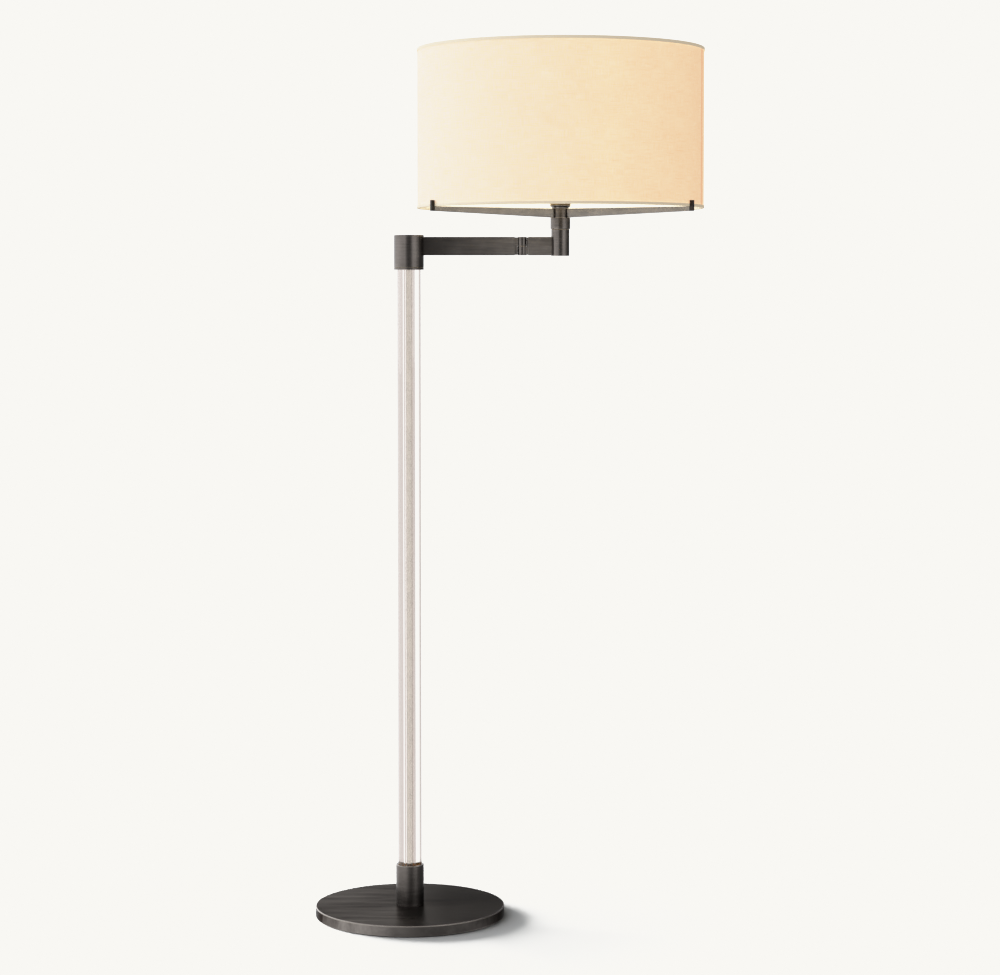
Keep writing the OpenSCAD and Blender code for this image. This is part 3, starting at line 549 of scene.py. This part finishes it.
def make_column():
    """Collar, clear glass column with its nickel conduit, and the fixed cap that the hub turns on."""
    low, high = span("column_collar")
    socket, floor_h = 19.2 * MM, 6 * MM
    turned("column_collar", [
        (CONDUIT_BORE, low[2], 0), (high[0], low[2], 0.3), (high[0], high[2], 0.9),
        (socket, high[2], 0.5), (socket, low[2] + floor_h, 0), (CONDUIT_BORE, low[2] + floor_h, 0)],
        materials=(collar_bronze, bronze_edge))
    low, high = span("glass_column")
    hollow = 6.5 * MM
    glass = turned("glass_column", [
        (hollow, low[2], 0.4), (high[0], low[2], 0.5), (high[0], high[2], 0.5), (hollow, high[2], 0.4)],
        turns=240, materials=(clear_glass, clear_glass))
    glass.visible_shadow = False
    low, high = span("wire_conduit")
    wire_bore = 3.6 * MM
    turned("wire_conduit", [
        (wire_bore, low[2], 0.2), (high[0], low[2], 0.3), (high[0], high[2], 0.3),
        (wire_bore, high[2], 0.2)], turns=96, materials=(bright_nickel, bright_nickel))
    low, high = span("column_cap")
    barrel, flange_h, crown = 21.0 * MM, 3 * MM, 5 * MM
    turned("column_cap", [
        (socket, low[2], 0.4), (high[0], low[2], 0.6), (high[0], low[2] + flange_h, 0.2),
        (barrel, low[2] + flange_h, 0), (barrel, high[2], 0.4), (CONDUIT_BORE, high[2], 0),
        (CONDUIT_BORE, high[2] - crown, 0), (socket, high[2] - crown, 0)],
        materials=(collar_bronze, bronze_edge))
    low, high = span("hub_thrust_washer")
    hole = barrel + 0.1 * MM
    turned("hub_thrust_washer", [
        (hole, low[2], 0.1), (high[0], low[2], 0.2), (high[0], high[2], 0.2), (hole, high[2], 0.1)],
        materials=(oiled_brass, oiled_brass))


def screw_hole(made, x, z, out_x):
    """Bores the hole for a stop screw, which stands along X at height z, out through x = out_x."""
    r = 2.02 * MM
    profile, _ = outline((0, x, 0), (r, x, 0), (r, out_x, 0), (0, out_x, 0))
    grid = to_y(lathe(profile, COLUMN, 40), 0.0, z)
    bored(made, np.stack([grid[..., 1], grid[..., 0], grid[..., 2]], -1))


def make_hub():
    """The turning hub, its pressed cap, and the hole for its stop screw."""
    low, high = span("arm_hub")
    bore = 21.05 * MM
    hub = turned("arm_hub", [
        (bore, low[2], 0.3), (high[0], low[2], 0.4), (high[0], high[2], 0.25), (bore, high[2], 0)])
    screw = np.mean(span("hub_stop_screw"), 0)
    screw_hole(hub, -bore + PAST, screw[2], -high[0] - PAST)
    cap_low, cap_high = span("hub_cap")
    spigot = bore - 0.02 * MM
    turned("hub_cap", [
        (0, cap_low[2], 0), (spigot, cap_low[2], 0), (spigot, high[2], 0), (cap_high[0], high[2], 0.2),
        (cap_high[0], cap_high[2], 0.9), (0, cap_high[2], 0)])


# ---------------------------------------------------------------- arms and elbow

def upright(a, b, t):
    """Places a slab's outline in X and Z and its thickness along Y."""
    return np.stack([a, t, b], -1)


def bar(node, x0, x1, z0, z1, thickness, bevel_mm, name=None):
    """A flat bar along X, rubbed along its length."""
    mesh = slab(name or node + "_drawn", [(x0, z0), (x1, z0), (x1, z1), (x0, z1)], thickness, upright)
    return piece(mesh, node, (bronze_bar,), bevel_mm)


def make_arms():
    """Two hollow bars, joined by a half-and-half elbow whose barrels meet at mid height."""
    into_round, bar_bevel = 1.5 * MM, 0.9
    low, high = span("inner_arm_bar")
    inner_end, bottom, top = high[0], low[2], high[2]
    outer_start = span("outer_arm_bar")[0][0]
    thickness = high[1] - low[1]
    bar("inner_arm_bar", radius_of("arm_hub") - into_round, inner_end, bottom, top, thickness, bar_bevel)
    bar("outer_arm_bar", outer_start, HEAD[0] - radius_of("head_sleeve") + into_round,
        bottom, top, thickness, bar_bevel)

    washer_low, washer_high = span("elbow_washer")
    washer_r = radius_of("elbow_washer")
    barrel_r = washer_r + 0.3 * MM
    upper_z0, lower_z1 = washer_high[2] + 0.05 * MM, washer_low[2] - 0.05 * MM
    into_barrel, plug_lap, plug_in = 1.8 * MM, 1 * MM, 1.55 * MM
    inner_web_t, outer_web_t, outer_web_in, plug_t = 5 * MM, 8.9 * MM, 0.8 * MM, 6.4 * MM
    bar("inner_knuckle", inner_end - plug_lap, ELBOW[0] - barrel_r + into_barrel,
        upper_z0, top - plug_in, inner_web_t, 0.5, "inner_knuckle_web")
    bar("outer_knuckle", ELBOW[0] + barrel_r - into_barrel, outer_start,
        bottom + outer_web_in, lower_z1, outer_web_t, 0.5, "outer_knuckle_web")
    bar("outer_knuckle", outer_start - plug_lap, outer_start + plug_lap,
        bottom + plug_in, top - plug_in, plug_t, 0.3, "outer_knuckle_plug")
    fin_reach, fin_t, fin_in = 6.84 * MM, 1.6 * MM, 0.8 * MM
    bar("inner_knuckle", inner_end, ELBOW[0] - fin_reach, bottom + fin_in, top - fin_in,
        fin_t, 0.15, "inner_knuckle_fin")
    bar("outer_knuckle", ELBOW[0] + fin_reach, outer_start, bottom + fin_in, top - fin_in,
        fin_t, 0.15, "outer_knuckle_fin")

    pin, head_room, nut_room = 3.55 * MM, 4.62 * MM, 5.4 * MM
    head_seat, nut_seat = top - 9 * MM, bottom + 8.4 * MM
    turned("inner_knuckle", [
        (pin, upper_z0, 0.2), (barrel_r, upper_z0, 0.4), (barrel_r, top, 0.5), (head_room, top, 0.25),
        (head_room, head_seat, 0), (pin, head_seat, 0)], ELBOW, 96)
    turned("outer_knuckle", [
        (nut_room, bottom, 0.25), (barrel_r, bottom, 0.5), (barrel_r, lower_z1, 0.4),
        (pin, lower_z1, 0.2), (pin, nut_seat, 0), (nut_room, nut_seat, 0)], ELBOW, 96)
    turned("elbow_washer", [
        (pin, washer_low[2], 0.1), (washer_r, washer_low[2], 0.15), (washer_r, washer_high[2], 0.15),
        (pin, washer_high[2], 0.1)], ELBOW, 96, (oiled_brass, oiled_brass))
    for node in ("elbow_top_cap", "elbow_bottom_cap"):
        low, high = span(node)
        r = radius_of(node)
        turned(node, [(0, low[2], 0), (r, low[2], 0.35), (r, high[2], 0.35), (0, high[2], 0)], ELBOW, 96)


# ---------------------------------------------------------------- head

def make_head():
    """Sleeve, washer and the cup with its flared lip, turned in one with its stem."""
    low, high = span("head_sleeve")
    r, bore = radius_of("head_sleeve"), 11 * MM
    sleeve = turned("head_sleeve", [
        (bore, low[2], 0.2), (r, low[2], 0.5), (r, high[2], 0.45), (bore, high[2], 0.2)], HEAD)
    screw = np.mean(span("head_stop_screw"), 0)
    screw_hole(sleeve, HEAD[0] - bore + PAST, screw[2], HEAD[0] - r - PAST)
    plug_low, plug_high = span("sleeve_plug")
    plug_r = radius_of("sleeve_plug")
    turned("sleeve_plug", [
        (0, plug_low[2], 0), (plug_r, plug_low[2], 0.4), (plug_r, plug_high[2], 0), (0, plug_high[2], 0)],
        HEAD)
    washer_low, washer_high = span("head_washer")
    washer_r = radius_of("head_washer")
    turned("head_washer", [
        (bore, washer_low[2], 0.1), (washer_r, washer_low[2], 0.2), (washer_r, washer_high[2], 0.2),
        (bore, washer_high[2], 0.1)], HEAD, materials=(oiled_brass, oiled_brass))
    cup_low, cup_high = span("socket_cup")
    z0 = high[2] + 0.8 * MM
    neck_z0, rim = span("shade_arm_back")[0][2], cup_high[2]
    cup_r, neck_r, lip_r, well_r = 15.9 * MM, 13.2 * MM, 16.6 * MM, 10.6 * MM
    hollow, stem, journal = 3.5 * MM, 7 * MM, 10.95 * MM
    journal_z0, floor_z = z0 - 18 * MM, z0 + 4.6 * MM
    flare_z0, lip_z0 = rim - 3.8 * MM, rim - 1.6 * MM
    turned("socket_cup", [
        (hollow, cup_low[2], 0), (stem, cup_low[2], 0.3), (stem, journal_z0, 0),
        (journal, journal_z0, 0.3), (journal, z0, 0), (cup_r, z0, 0.9), (cup_r, neck_z0, 0.5),
        (neck_r, neck_z0, 0.3), (neck_r, flare_z0, 0.9), (lip_r, lip_z0, 0.4), (lip_r, rim, 0.35),
        (well_r, rim, 0.3), (well_r, floor_z, 0), (hollow, floor_z, 0)], HEAD)


def make_shade_arms():
    """Three tapering blades from the cup's neck to a hook outside the drum, each on a tenon."""
    low, high = span("shade_arm_back")
    drum_z = span("shade_bottom_trim")[0][2] - 0.02 * MM
    hook_out = high[1]
    hook_in = radius_of("shade_bottom_trim") + 0.5 * MM
    root, tip_h, blade_t = 15.3 * MM, 7.2 * MM, 5 * MM
    hook_low = low[2] + (drum_z - tip_h - low[2]) * (hook_in - root) / (hook_out - root)
    blade = [(root, low[2]), (hook_in, hook_low), (hook_in, drum_z), (root, drum_z)]
    hook = [(hook_in, hook_low), (hook_out, drum_z - tip_h), (hook_out, high[2]), (hook_in, high[2])]
    tenon_t, tenon_end = 3.4 * MM, root + 1 * MM
    tenon_z0, tenon_z1 = (low[2] + drum_z) / 2 + np.array([-4.7, 4.7]) * MM
    tenon = [(low[1], tenon_z0), (tenon_end, tenon_z0), (tenon_end, tenon_z1), (low[1], tenon_z1)]
    for node, angle in (("shade_arm_back", 90), ("shade_arm_left", 210), ("shade_arm_right", 330)):
        c, s = math.cos(math.radians(angle)), math.sin(math.radians(angle))

        def place(a, b, t):
            return np.stack([HEAD[0] + a * c - t * s, HEAD[1] + a * s + t * c, b], -1)

        piece(slab(node + "_blade", blade, blade_t, place), node, (bronze_blade,), 0.55)
        # the hooks take the near-black bronze: painted shade
        piece(slab(node + "_hook", hook, blade_t, place), node, (bronze_hook,), 0.55)
        piece(slab(node + "_tenon", tenon, tenon_t, place), node, (bronze_blade,), 0.2)


# ---------------------------------------------------------------- lamp holder and bulb

def thread(node, r, inner_r, z0, z1, pitch, depth, material_used):
    """A tube with a rolled round thread: its outer radius is r - depth (1 + cos(2 pi z / pitch - a)) / 2."""
    steps = int((z1 - z0) / pitch * 12)
    a = np.linspace(0, 2 * np.pi, 96, endpoint=False)
    z = np.linspace(z0, z1, steps)[:, None]
    wave = depth * (1 + np.cos(2 * np.pi * z / pitch - a)) / 2
    outer = np.stack([r - wave, z + 0 * a], -1)
    inner = np.stack([inner_r + 0 * wave, z + 0 * a], -1)[::-1]
    rz = np.concatenate([outer, inner])
    r, z = rz[..., 0], rz[..., 1]
    grid = np.stack([HEAD[0] + r * np.cos(a), HEAD[1] + r * np.sin(a), z], -1)
    return piece(closed_mesh(node + "_threaded", grid), node, (material_used,))


def make_holder():
    """Drawn brass shell with a rolled bead, threaded screw shell, and the bulb with its threaded cap.
    The bulb's globe is a ball that ends where a straight cone from the neck touches it, at the angle
    asin((ball - neck) / height) below its middle."""
    low, high = span("holder_shell")
    r, wall, hole = radius_of("holder_shell"), 0.8 * MM, 4.9 * MM
    bead_z, bead_h, bead_in = low[2] + 31 * MM, 1.6 * MM, 0.5 * MM
    shell = turned("holder_shell", [
        (hole, low[2], 0), (r, low[2], 2.0), (r, bead_z - bead_h, 0.5), (r - bead_in, bead_z, 0.5),
        (r, bead_z + bead_h, 0.5), (r, high[2], 0.3), (r - wall, high[2], 0.2),
        (r - wall, low[2] + wall, 1.5), (hole, low[2] + wall, 0)], HEAD, materials=(raw_brass, raw_brass))
    knob_z = PIVOT["switch_turn"][2]
    spindle_r, cut_y0, cut_y1 = 2.6 * MM, -r - 2 * MM, -r + 3 * MM
    spindle_hole, _ = outline((0, cut_y0, 0), (spindle_r, cut_y0, 0), (spindle_r, cut_y1, 0), (0, cut_y1, 0))
    bored(shell, to_y(lathe(spindle_hole, COLUMN, 40), HEAD[0], knob_z))
    low, high = span("screw_shell")
    pitch, shell_r, shell_t = 3.6 * MM, radius_of("screw_shell"), 0.5 * MM
    thread("screw_shell", shell_r, shell_r - shell_t, low[2], high[2], pitch, 0.25 * MM, raw_brass)
    low, high = span("bulb_cap")
    cap_r, tip_r, tip_h = radius_of("bulb_cap"), 5.5 * MM, 3 * MM
    thread("bulb_cap", cap_r, 3 * MM, low[2] + tip_h, high[2], pitch, 0.7 * MM, bright_nickel)
    disc_r, disc_z = cap_r - 2.5 * MM, low[2] + tip_h + 0.2 * MM
    profile, wear_and_highlight = outline((0, low[2], 0), (tip_r, low[2], 0.8), (disc_r, disc_z, 0.5), (0, disc_z, 0))
    piece(closed_mesh("bulb_cap_tip", lathe(profile, HEAD, 96), wear_and_highlight), "bulb_cap", (phenolic, phenolic))
    low, high = span("bulb_globe")
    ball, neck, wall = radius_of("bulb_globe"), 13.3 * MM, 0.8 * MM
    centre = high[2] - ball
    lean = math.asin((ball - neck) / (centre - low[2]))
    polar = np.linspace(0, math.pi / 2 + lean, 40)[:, None]
    sphere = np.hstack([np.sin(polar), np.cos(polar)])
    skins = [np.vstack([[0, centre] + (ball - s) * sphere, [neck - s, low[2]]]) for s in (0, wall)]
    globe = lathe(np.vstack([skins[0], skins[1][::-1]]), HEAD, 128)
    piece(closed_mesh("bulb_globe_blown", globe), "bulb_globe", (opal_glass,))


def make_knob():
    """The fluted knob: r(a) = r - depth (1 + cos(14 a)) / 2 along its grip, on a plain spindle."""
    low, high = span("switch_knob")
    length, flutes, depth = 14 * MM, 14, 0.7 * MM
    front, back, knob_r = low[1], low[1] + length, radius_of("switch_knob")
    spindle_r, grip_r = 2 * MM, 3.2 * MM
    profile, wear_and_highlight = outline(
        (0, high[1], 0), (spindle_r, high[1], 0.2), (spindle_r, back, 0), (knob_r, back, 0.7),
        (knob_r, front, 1.3), (0, front, 0))
    a = np.linspace(0, 2 * np.pi, 16 * flutes, endpoint=False)
    grip = np.clip((profile[:, :1] - grip_r) / MM, 0, 1)
    r = profile[:, :1] - grip * depth * (1 + np.cos(flutes * a)) / 2
    y = profile[:, 1:] + 0 * a
    grid = np.stack([HEAD[0] + r * np.cos(a), y, PIVOT["switch_turn"][2] + r * np.sin(a)], -1)
    piece(closed_mesh("switch_knob_fluted", grid, wear_and_highlight), "switch_knob", (phenolic, phenolic))


# ---------------------------------------------------------------- shade

def make_shade():
    """A drum of linen on a styrene liner, lapped once, with tape rolled over both wire hoops. The
    cloth's radius is r, less the lap's thickness away from the seam, and less a slight sag between
    the hoops, sag sin(pi u) (1 + cos 9 a) / 2 at the height share u and the angle a."""
    low, high = span("shade_linen")
    r, cloth = radius_of("shade_linen"), 0.6 * MM
    seam = math.radians(-15)
    lap_t, lap_edge, most_sag, waves = 0.25 * MM, 0.6 * MM, 0.10 * MM, 9
    turns, rows = 720, 24
    a = np.linspace(0, 2 * np.pi, turns + 1)
    z = np.linspace(low[2], high[2], rows + 1)[:, None]
    off = np.abs((a - seam + np.pi) % (2 * np.pi) - np.pi) * r
    lap = np.clip((SEAM_HALF_W - off) / lap_edge + 0.5, 0, 1)
    rise = (z - low[2]) / (high[2] - low[2])
    sag = most_sag * np.sin(np.pi * rise) * (1 + np.cos(waves * a)) / 2
    outer = r - lap_t * (1 - lap) - sag
    inner = r - cloth + 0 * outer
    radius = np.concatenate([outer, inner[::-1]])[:, :-1]
    height = np.concatenate([z, z[::-1]]) + 0 * radius
    grid = np.stack([HEAD[0] + radius * np.cos(a[:-1]), HEAD[1] + radius * np.sin(a[:-1]), height], -1)
    round_m, up_m = a * r, np.concatenate([z[:, 0], z[::-1, 0]])
    n = len(up_m)
    i, j = np.meshgrid(np.arange(n), np.arange(turns), indexing="ij")
    uv = np.stack([
        np.stack([round_m[j], up_m[i]], -1), np.stack([round_m[j + 1], up_m[i]], -1),
        np.stack([round_m[j + 1], up_m[(i + 1) % n]], -1), np.stack([round_m[j], up_m[(i + 1) % n]], -1)], 2)
    linen = piece(closed_mesh("shade_linen_cloth", grid, uv=uv), "shade_linen", (linen_material(r, seam),))
    low, high = span("shade_liner")
    liner_r = radius_of("shade_liner")
    liner_in = liner_r - 0.6 * MM
    turned("shade_liner", [
        (liner_in, low[2], 0), (liner_r, low[2], 0), (liner_r, high[2], 0), (liner_in, high[2], 0)],
        HEAD, 320, (liner_sheet, liner_sheet))
    for node, up in (("shade_top_trim", -1), ("shade_bottom_trim", 1)):
        low, high = span(node)
        edge, free = (high[2], low[2]) if up < 0 else (low[2], high[2])
        out_r, wall, width = radius_of(node), 0.5 * MM, 5.66 * MM
        in_r = out_r - width
        turned(node, [
            (in_r, edge, 1.3), (out_r, edge, 1.1), (out_r, free, 0.25), (out_r - wall, free, 0.15),
            (out_r - wall, edge + up * wall, 0.6), (in_r + wall, edge + up * wall, 0.8),
            (in_r + wall, free, 0.15), (in_r, free, 0.25)], HEAD, 320, (tape, tape))
    # A hoop is the wire's round section, pitch + wire cos t across and wire sin t up, carried round
    for node in ("shade_top_hoop", "shade_bottom_hoop"):
        low, high = span(node)
        wire = (high[2] - low[2]) / 2
        pitch = radius_of(node) - wire
        turn = np.linspace(0, 2 * np.pi, 20, endpoint=False)[:, None]
        ring = np.hstack([pitch + wire * np.cos(turn), (low[2] + high[2]) / 2 + wire * np.sin(turn)])
        piece(closed_mesh(node + "_bent", lathe(ring, HEAD, 240)), node, (zinc_steel,))


def dress_the_rest():
    """Gives every frame node its slot's finish; the linen, which has its own piece, is left out."""
    for node, shape in frame["nodes"].items():
        slot = SLOT_OF[node]
        if slot not in MATERIAL_OF:
            continue
        shape.data.materials.clear()
        shape.data.materials.append(MATERIAL_OF[slot])


# ---------------------------------------------------------------- stage, light and camera

PAPER = (1.45, 1.45, 1.45, 1.0)
# What the column's glass bends into view from the sides: a greyer, slightly warm part of the room
THROUGH_GLASS = (0.67, 0.62, 0.60, 1.0)
# What its conduit mirrors from the front
IN_GLASS = (1.23, 1.22, 1.20, 1.0)
# Brightness all round the lamp, by angle in degrees: 0 towards the camera, positive to its right
ROUND_LIGHT = [
    (-180, 0.95), (-165, 1.05), (-150, 1.5), (-117, 2.3), (-91, 2.8), (-70, 2.3), (-44, 1.6), (-28, 1.6),
    (-20, 0.8), (-13, 0.16), (0, 0.10), (10, 0.16), (20, 0.6), (33, 2.2), (52, 2.3), (70, 1.2), (90, 0.35),
    (112, 0.15), (150, 0.2), (168, 0.6), (180, 0.95)]
# The same above the lamp's own height, as far up as the base's top can mirror
HIGH_LIGHT = [
    (-180, 0.85), (-173, 2.2), (-160, 2.6), (-120, 1.4), (-60, 1.2), (0, 0.8), (60, 0.8), (120, 0.2),
    (165, 0.08), (174, 0.14), (180, 0.85)]
# What matt surfaces get: a broad window at the left
MATT_LIGHT = [
    (-180, 0.12), (-145, 0.45), (-115, 2.0), (-65, 1.9), (-32, 0.75), (0, 0.30), (40, 0.16), (90, 0.06),
    (150, 0.06), (180, 0.12)]
MOST_LIGHT = 3.0
# What upright metal mirrors from the floor
LOW_LIGHT = [
    (-180, 0.8), (-114, 1.7), (-94, 1.6), (-60, 1.8), (-40, 1.9), (-25, 1.5), (-12, 1.0), (0, 0.55),
    (15, 0.42), (28, 0.55), (40, 0.75), (52, 0.9), (70, 0.4), (90, 0.28), (112, 0.2), (150, 0.3),
    (180, 0.8)]
# Where a heading's upward part passes to the high light, and then to an even ceiling
TO_HIGH, TO_CEILING = (0.07, 0.20), (0.55, 0.95)
CEILING = (0.7, 0.7, 0.7, 1.0)
WINDOW_TINT = (0.96, 1.0, 1.06)
# Where a heading's part along X is bent far enough by the glass to leave the paper behind the lamp
BENT_LEFT, BENT_RIGHT = (-0.62, -0.82), (-0.02, 0.06)


def round_ramp(tree, share, levels, tint=(1.0, 1.0, 1.0)):
    """Radiance by direction round the lamp, from a list of (degrees, level)."""
    ramp = add(tree, "ShaderNodeValToRGB", {"Fac": share})
    stops = ramp.color_ramp.elements
    for degrees, level in levels[1:-1]:
        stops.new((degrees + 180) / 360)
    for stop, (degrees, level) in zip(stops, levels):
        stop.position = (degrees + 180) / 360
        stop.color = (level / MOST_LIGHT,) * 3 + (1.0,)
    return add(tree, "ShaderNodeVectorMath", {
        0: ramp.outputs["Color"], 1: [MOST_LIGHT * c for c in tint]}, operation="MULTIPLY").outputs["Vector"]


def step_up(tree, value, low, high):
    """A smooth step from 0 to 1 as value goes from low to high."""
    made = add(tree, "ShaderNodeMapRange", {
        "Value": value, "From Min": low, "From Max": high}, interpolation_type="SMOOTHSTEP")
    return made.outputs["Result"]


def direction(tree, vector):
    """A unit heading's three parts, and its share of a full turn round the lamp."""
    heading = add(tree, "ShaderNodeSeparateXYZ", {"Vector": vector}).outputs
    toward = add(tree, "ShaderNodeMath", {0: heading["Y"], 1: -1.0}, operation="MULTIPLY")
    angle = add(tree, "ShaderNodeMath", {0: heading["X"], 1: toward.outputs["Value"]}, operation="ARCTAN2")
    share = add(tree, "ShaderNodeMapRange", {
        "Value": angle.outputs["Value"], "From Min": -math.pi, "From Max": math.pi}).outputs["Result"]
    return heading, share


def seen_past(tree, ray, heading, lit):
    """Plain paper wherever the camera looks past the lamp, the room through glass, and lit for every
    other ray."""
    beyond = add(tree, "ShaderNodeMath", {
        0: heading["Y"], 1: 0.0}, operation="GREATER_THAN").outputs["Value"]
    to_left = step_up(tree, heading["X"], *BENT_LEFT)
    to_right = step_up(tree, heading["X"], *BENT_RIGHT)
    aside = add(tree, "ShaderNodeMath", {0: to_left, 1: to_right}, operation="MAXIMUM").outputs["Value"]
    bent = blended(tree, aside, PAPER, THROUGH_GLASS)
    glassy = blended(tree, beyond, IN_GLASS, bent)
    other = blended(tree, ray["Is Transmission Ray"], lit, glassy)
    return blended(tree, ray["Is Camera Ray"], other, PAPER)


def make_world():
    """Soft boxes and dark cards round the lamp as a sky: brightness by direction, even overhead."""
    world = bpy.data.worlds.new("studio")
    bpy.context.scene.world = world
    world.use_nodes = True
    tree = world.node_tree
    ray = add(tree, "ShaderNodeLightPath").outputs
    heading, share = direction(tree, add(tree, "ShaderNodeTexCoord").outputs["Generated"])
    around = blended(tree, step_up(tree, heading["Z"], *TO_HIGH),
                     round_ramp(tree, share, ROUND_LIGHT), round_ramp(tree, share, HIGH_LIGHT))
    around = blended(tree, step_up(tree, heading["Z"], *TO_CEILING), around, CEILING)
    matt = round_ramp(tree, share, MATT_LIGHT, WINDOW_TINT)
    lit = blended(tree, ray["Is Diffuse Ray"], around, matt)
    tree.links.new(seen_past(tree, ray, heading, lit), tree.nodes["Background"].inputs["Color"])


# The light that the floor sends back to matt surfaces, and how far from the lamp its paper turns even
FLOOR_BOUNCE = (0.12, 0.12, 0.12, 1.0)
SHADOW_REACH = (0.32, 0.60)


def make_floor():
    """A pale floor: white paper near the lamp, where its shadow falls, and evenly bright beyond."""
    mesh = bpy.data.meshes.new("floor")
    half = 30.0
    corners = [(-half, -half, 0), (half, -half, 0), (half, half, 0), (-half, half, 0)]
    mesh.from_pydata(corners, [], [(0, 1, 2, 3)])
    floor = bpy.data.objects.new("floor", mesh)
    bpy.context.scene.collection.objects.link(floor)
    made, tree, shader = material("floor_white_paper", "#c6c5c2", Roughness=1.0)
    shader.inputs["Specular IOR Level"].default_value = 0.0
    ray = add(tree, "ShaderNodeLightPath").outputs
    place = add(tree, "ShaderNodeTexCoord").outputs["Object"]
    reach = add(tree, "ShaderNodeVectorMath", {0: place}, operation="LENGTH").outputs["Value"]
    unit = add(tree, "ShaderNodeVectorMath", {0: place}, operation="NORMALIZE").outputs["Vector"]
    heading, share = direction(tree, unit)
    lit = blended(tree, ray["Is Diffuse Ray"], round_ramp(tree, share, LOW_LIGHT), FLOOR_BOUNCE)
    bright = add(tree, "ShaderNodeEmission", {"Color": seen_past(tree, ray, heading, lit)})
    lit_by_lamps = add(tree, "ShaderNodeMath", {
        0: ray["Is Camera Ray"], 1: ray["Is Diffuse Ray"]}, operation="ADD").outputs["Value"]
    others = add(tree, "ShaderNodeMath", {0: 1.0, 1: lit_by_lamps}, operation="SUBTRACT").outputs["Value"]
    far = add(tree, "ShaderNodeMath", {
        0: others, 1: step_up(tree, reach, *SHADOW_REACH)}, operation="MAXIMUM").outputs["Value"]
    mixed = add(tree, "ShaderNodeMixShader", {0: far, 1: shader.outputs[0], 2: bright.outputs[0]})
    tree.links.new(mixed.outputs[0], tree.nodes["Material Output"].inputs["Surface"])
    mesh.materials.append(made)
    return floor


def make_floor_light(floor):
    """A low soft box behind at the left that lights only the floor: the base's shadow falls to the
    front and the right."""
    lamp = bpy.data.lights.new("floor_softbox", "AREA")
    lamp.shape = "RECTANGLE"
    lamp.size, lamp.size_y, lamp.energy = 2.6, 1.5, 1500.0
    made = bpy.data.objects.new("floor_softbox", lamp)
    bpy.context.scene.collection.objects.link(made)
    made.location = (-3.3, 2.5, 1.02)
    made.rotation_euler = (Vector((0.0, 0.0, 0.0)) - made.location).to_track_quat("-Z", "Y").to_euler()
    made.visible_camera = False
    made.visible_glossy = False
    made.visible_transmission = False
    only_floor = bpy.data.collections.new("lit_by_floor_softbox")
    only_floor.objects.link(floor)
    made.light_linking.receiver_collection = only_floor


# The film's answer to light: straight up to 0.7, then a soft shoulder that ends at the paper's colour
PAPER_WHITE = linear("#f8f7f3")
SHOULDER, FULL = 0.70, 1.40


def make_film():
    """Bright parts roll off to the paper's colour along a cubic Hermite curve: with t from 0 at the
    shoulder s to 1 at full light f, y = (2 t^3 - 3 t^2 + 1) s + (t^3 - 2 t^2 + t) (f - s)
    + (3 t^2 - 2 t^3) paper."""
    view = bpy.context.scene.view_settings
    view.view_transform = "Standard"
    view.look = "None"
    view.use_curve_mapping = True
    mapping = view.curve_mapping
    mapping.white_level = (FULL,) * 3
    mapping.use_clip = False
    t = np.linspace(0, 1, 9)
    for channel in range(3):
        top = PAPER_WHITE[channel]
        x = SHOULDER + (FULL - SHOULDER) * t
        y = ((2 * t ** 3 - 3 * t ** 2 + 1) * SHOULDER + (t ** 3 - 2 * t ** 2 + t) * (FULL - SHOULDER)
             + (3 * t ** 2 - 2 * t ** 3) * top)
        points = mapping.curves[channel].points
        points[0].location = (0, 0)
        points[1].location = (1, top)
        for px, py in [(0.25, 0.25), (0.5, 0.5), *zip(x[:-1], y[:-1])]:
            points.new(px / FULL, py)
    mapping.update()


CAMERA_AT = Vector((0.1386, -4.1988, 0.9998))
CAMERA_LENS, CAMERA_SHIFT = 94.35, -0.045
DOWNWARD_DEG, PAN = 3.174, -0.00169


def make_camera():
    """A little below the arms, with a long lens and a small downward tilt and shift."""
    lens = bpy.data.cameras.new("camera")
    lens.lens = CAMERA_LENS
    lens.shift_y = CAMERA_SHIFT
    lens.clip_start, lens.clip_end = 0.1, 100.0
    made = bpy.data.objects.new("camera", lens)
    bpy.context.scene.collection.objects.link(made)
    made.location = CAMERA_AT
    made.rotation_euler = (math.radians(90 - DOWNWARD_DEG), 0.0, PAN)
    bpy.context.scene.camera = made


make_camera()
make_base()
make_column()
make_hub()
make_arms()
make_head()
make_shade_arms()
make_holder()
make_knob()
make_shade()
dress_the_rest()
make_floor_light(make_floor())
make_world()
make_film()
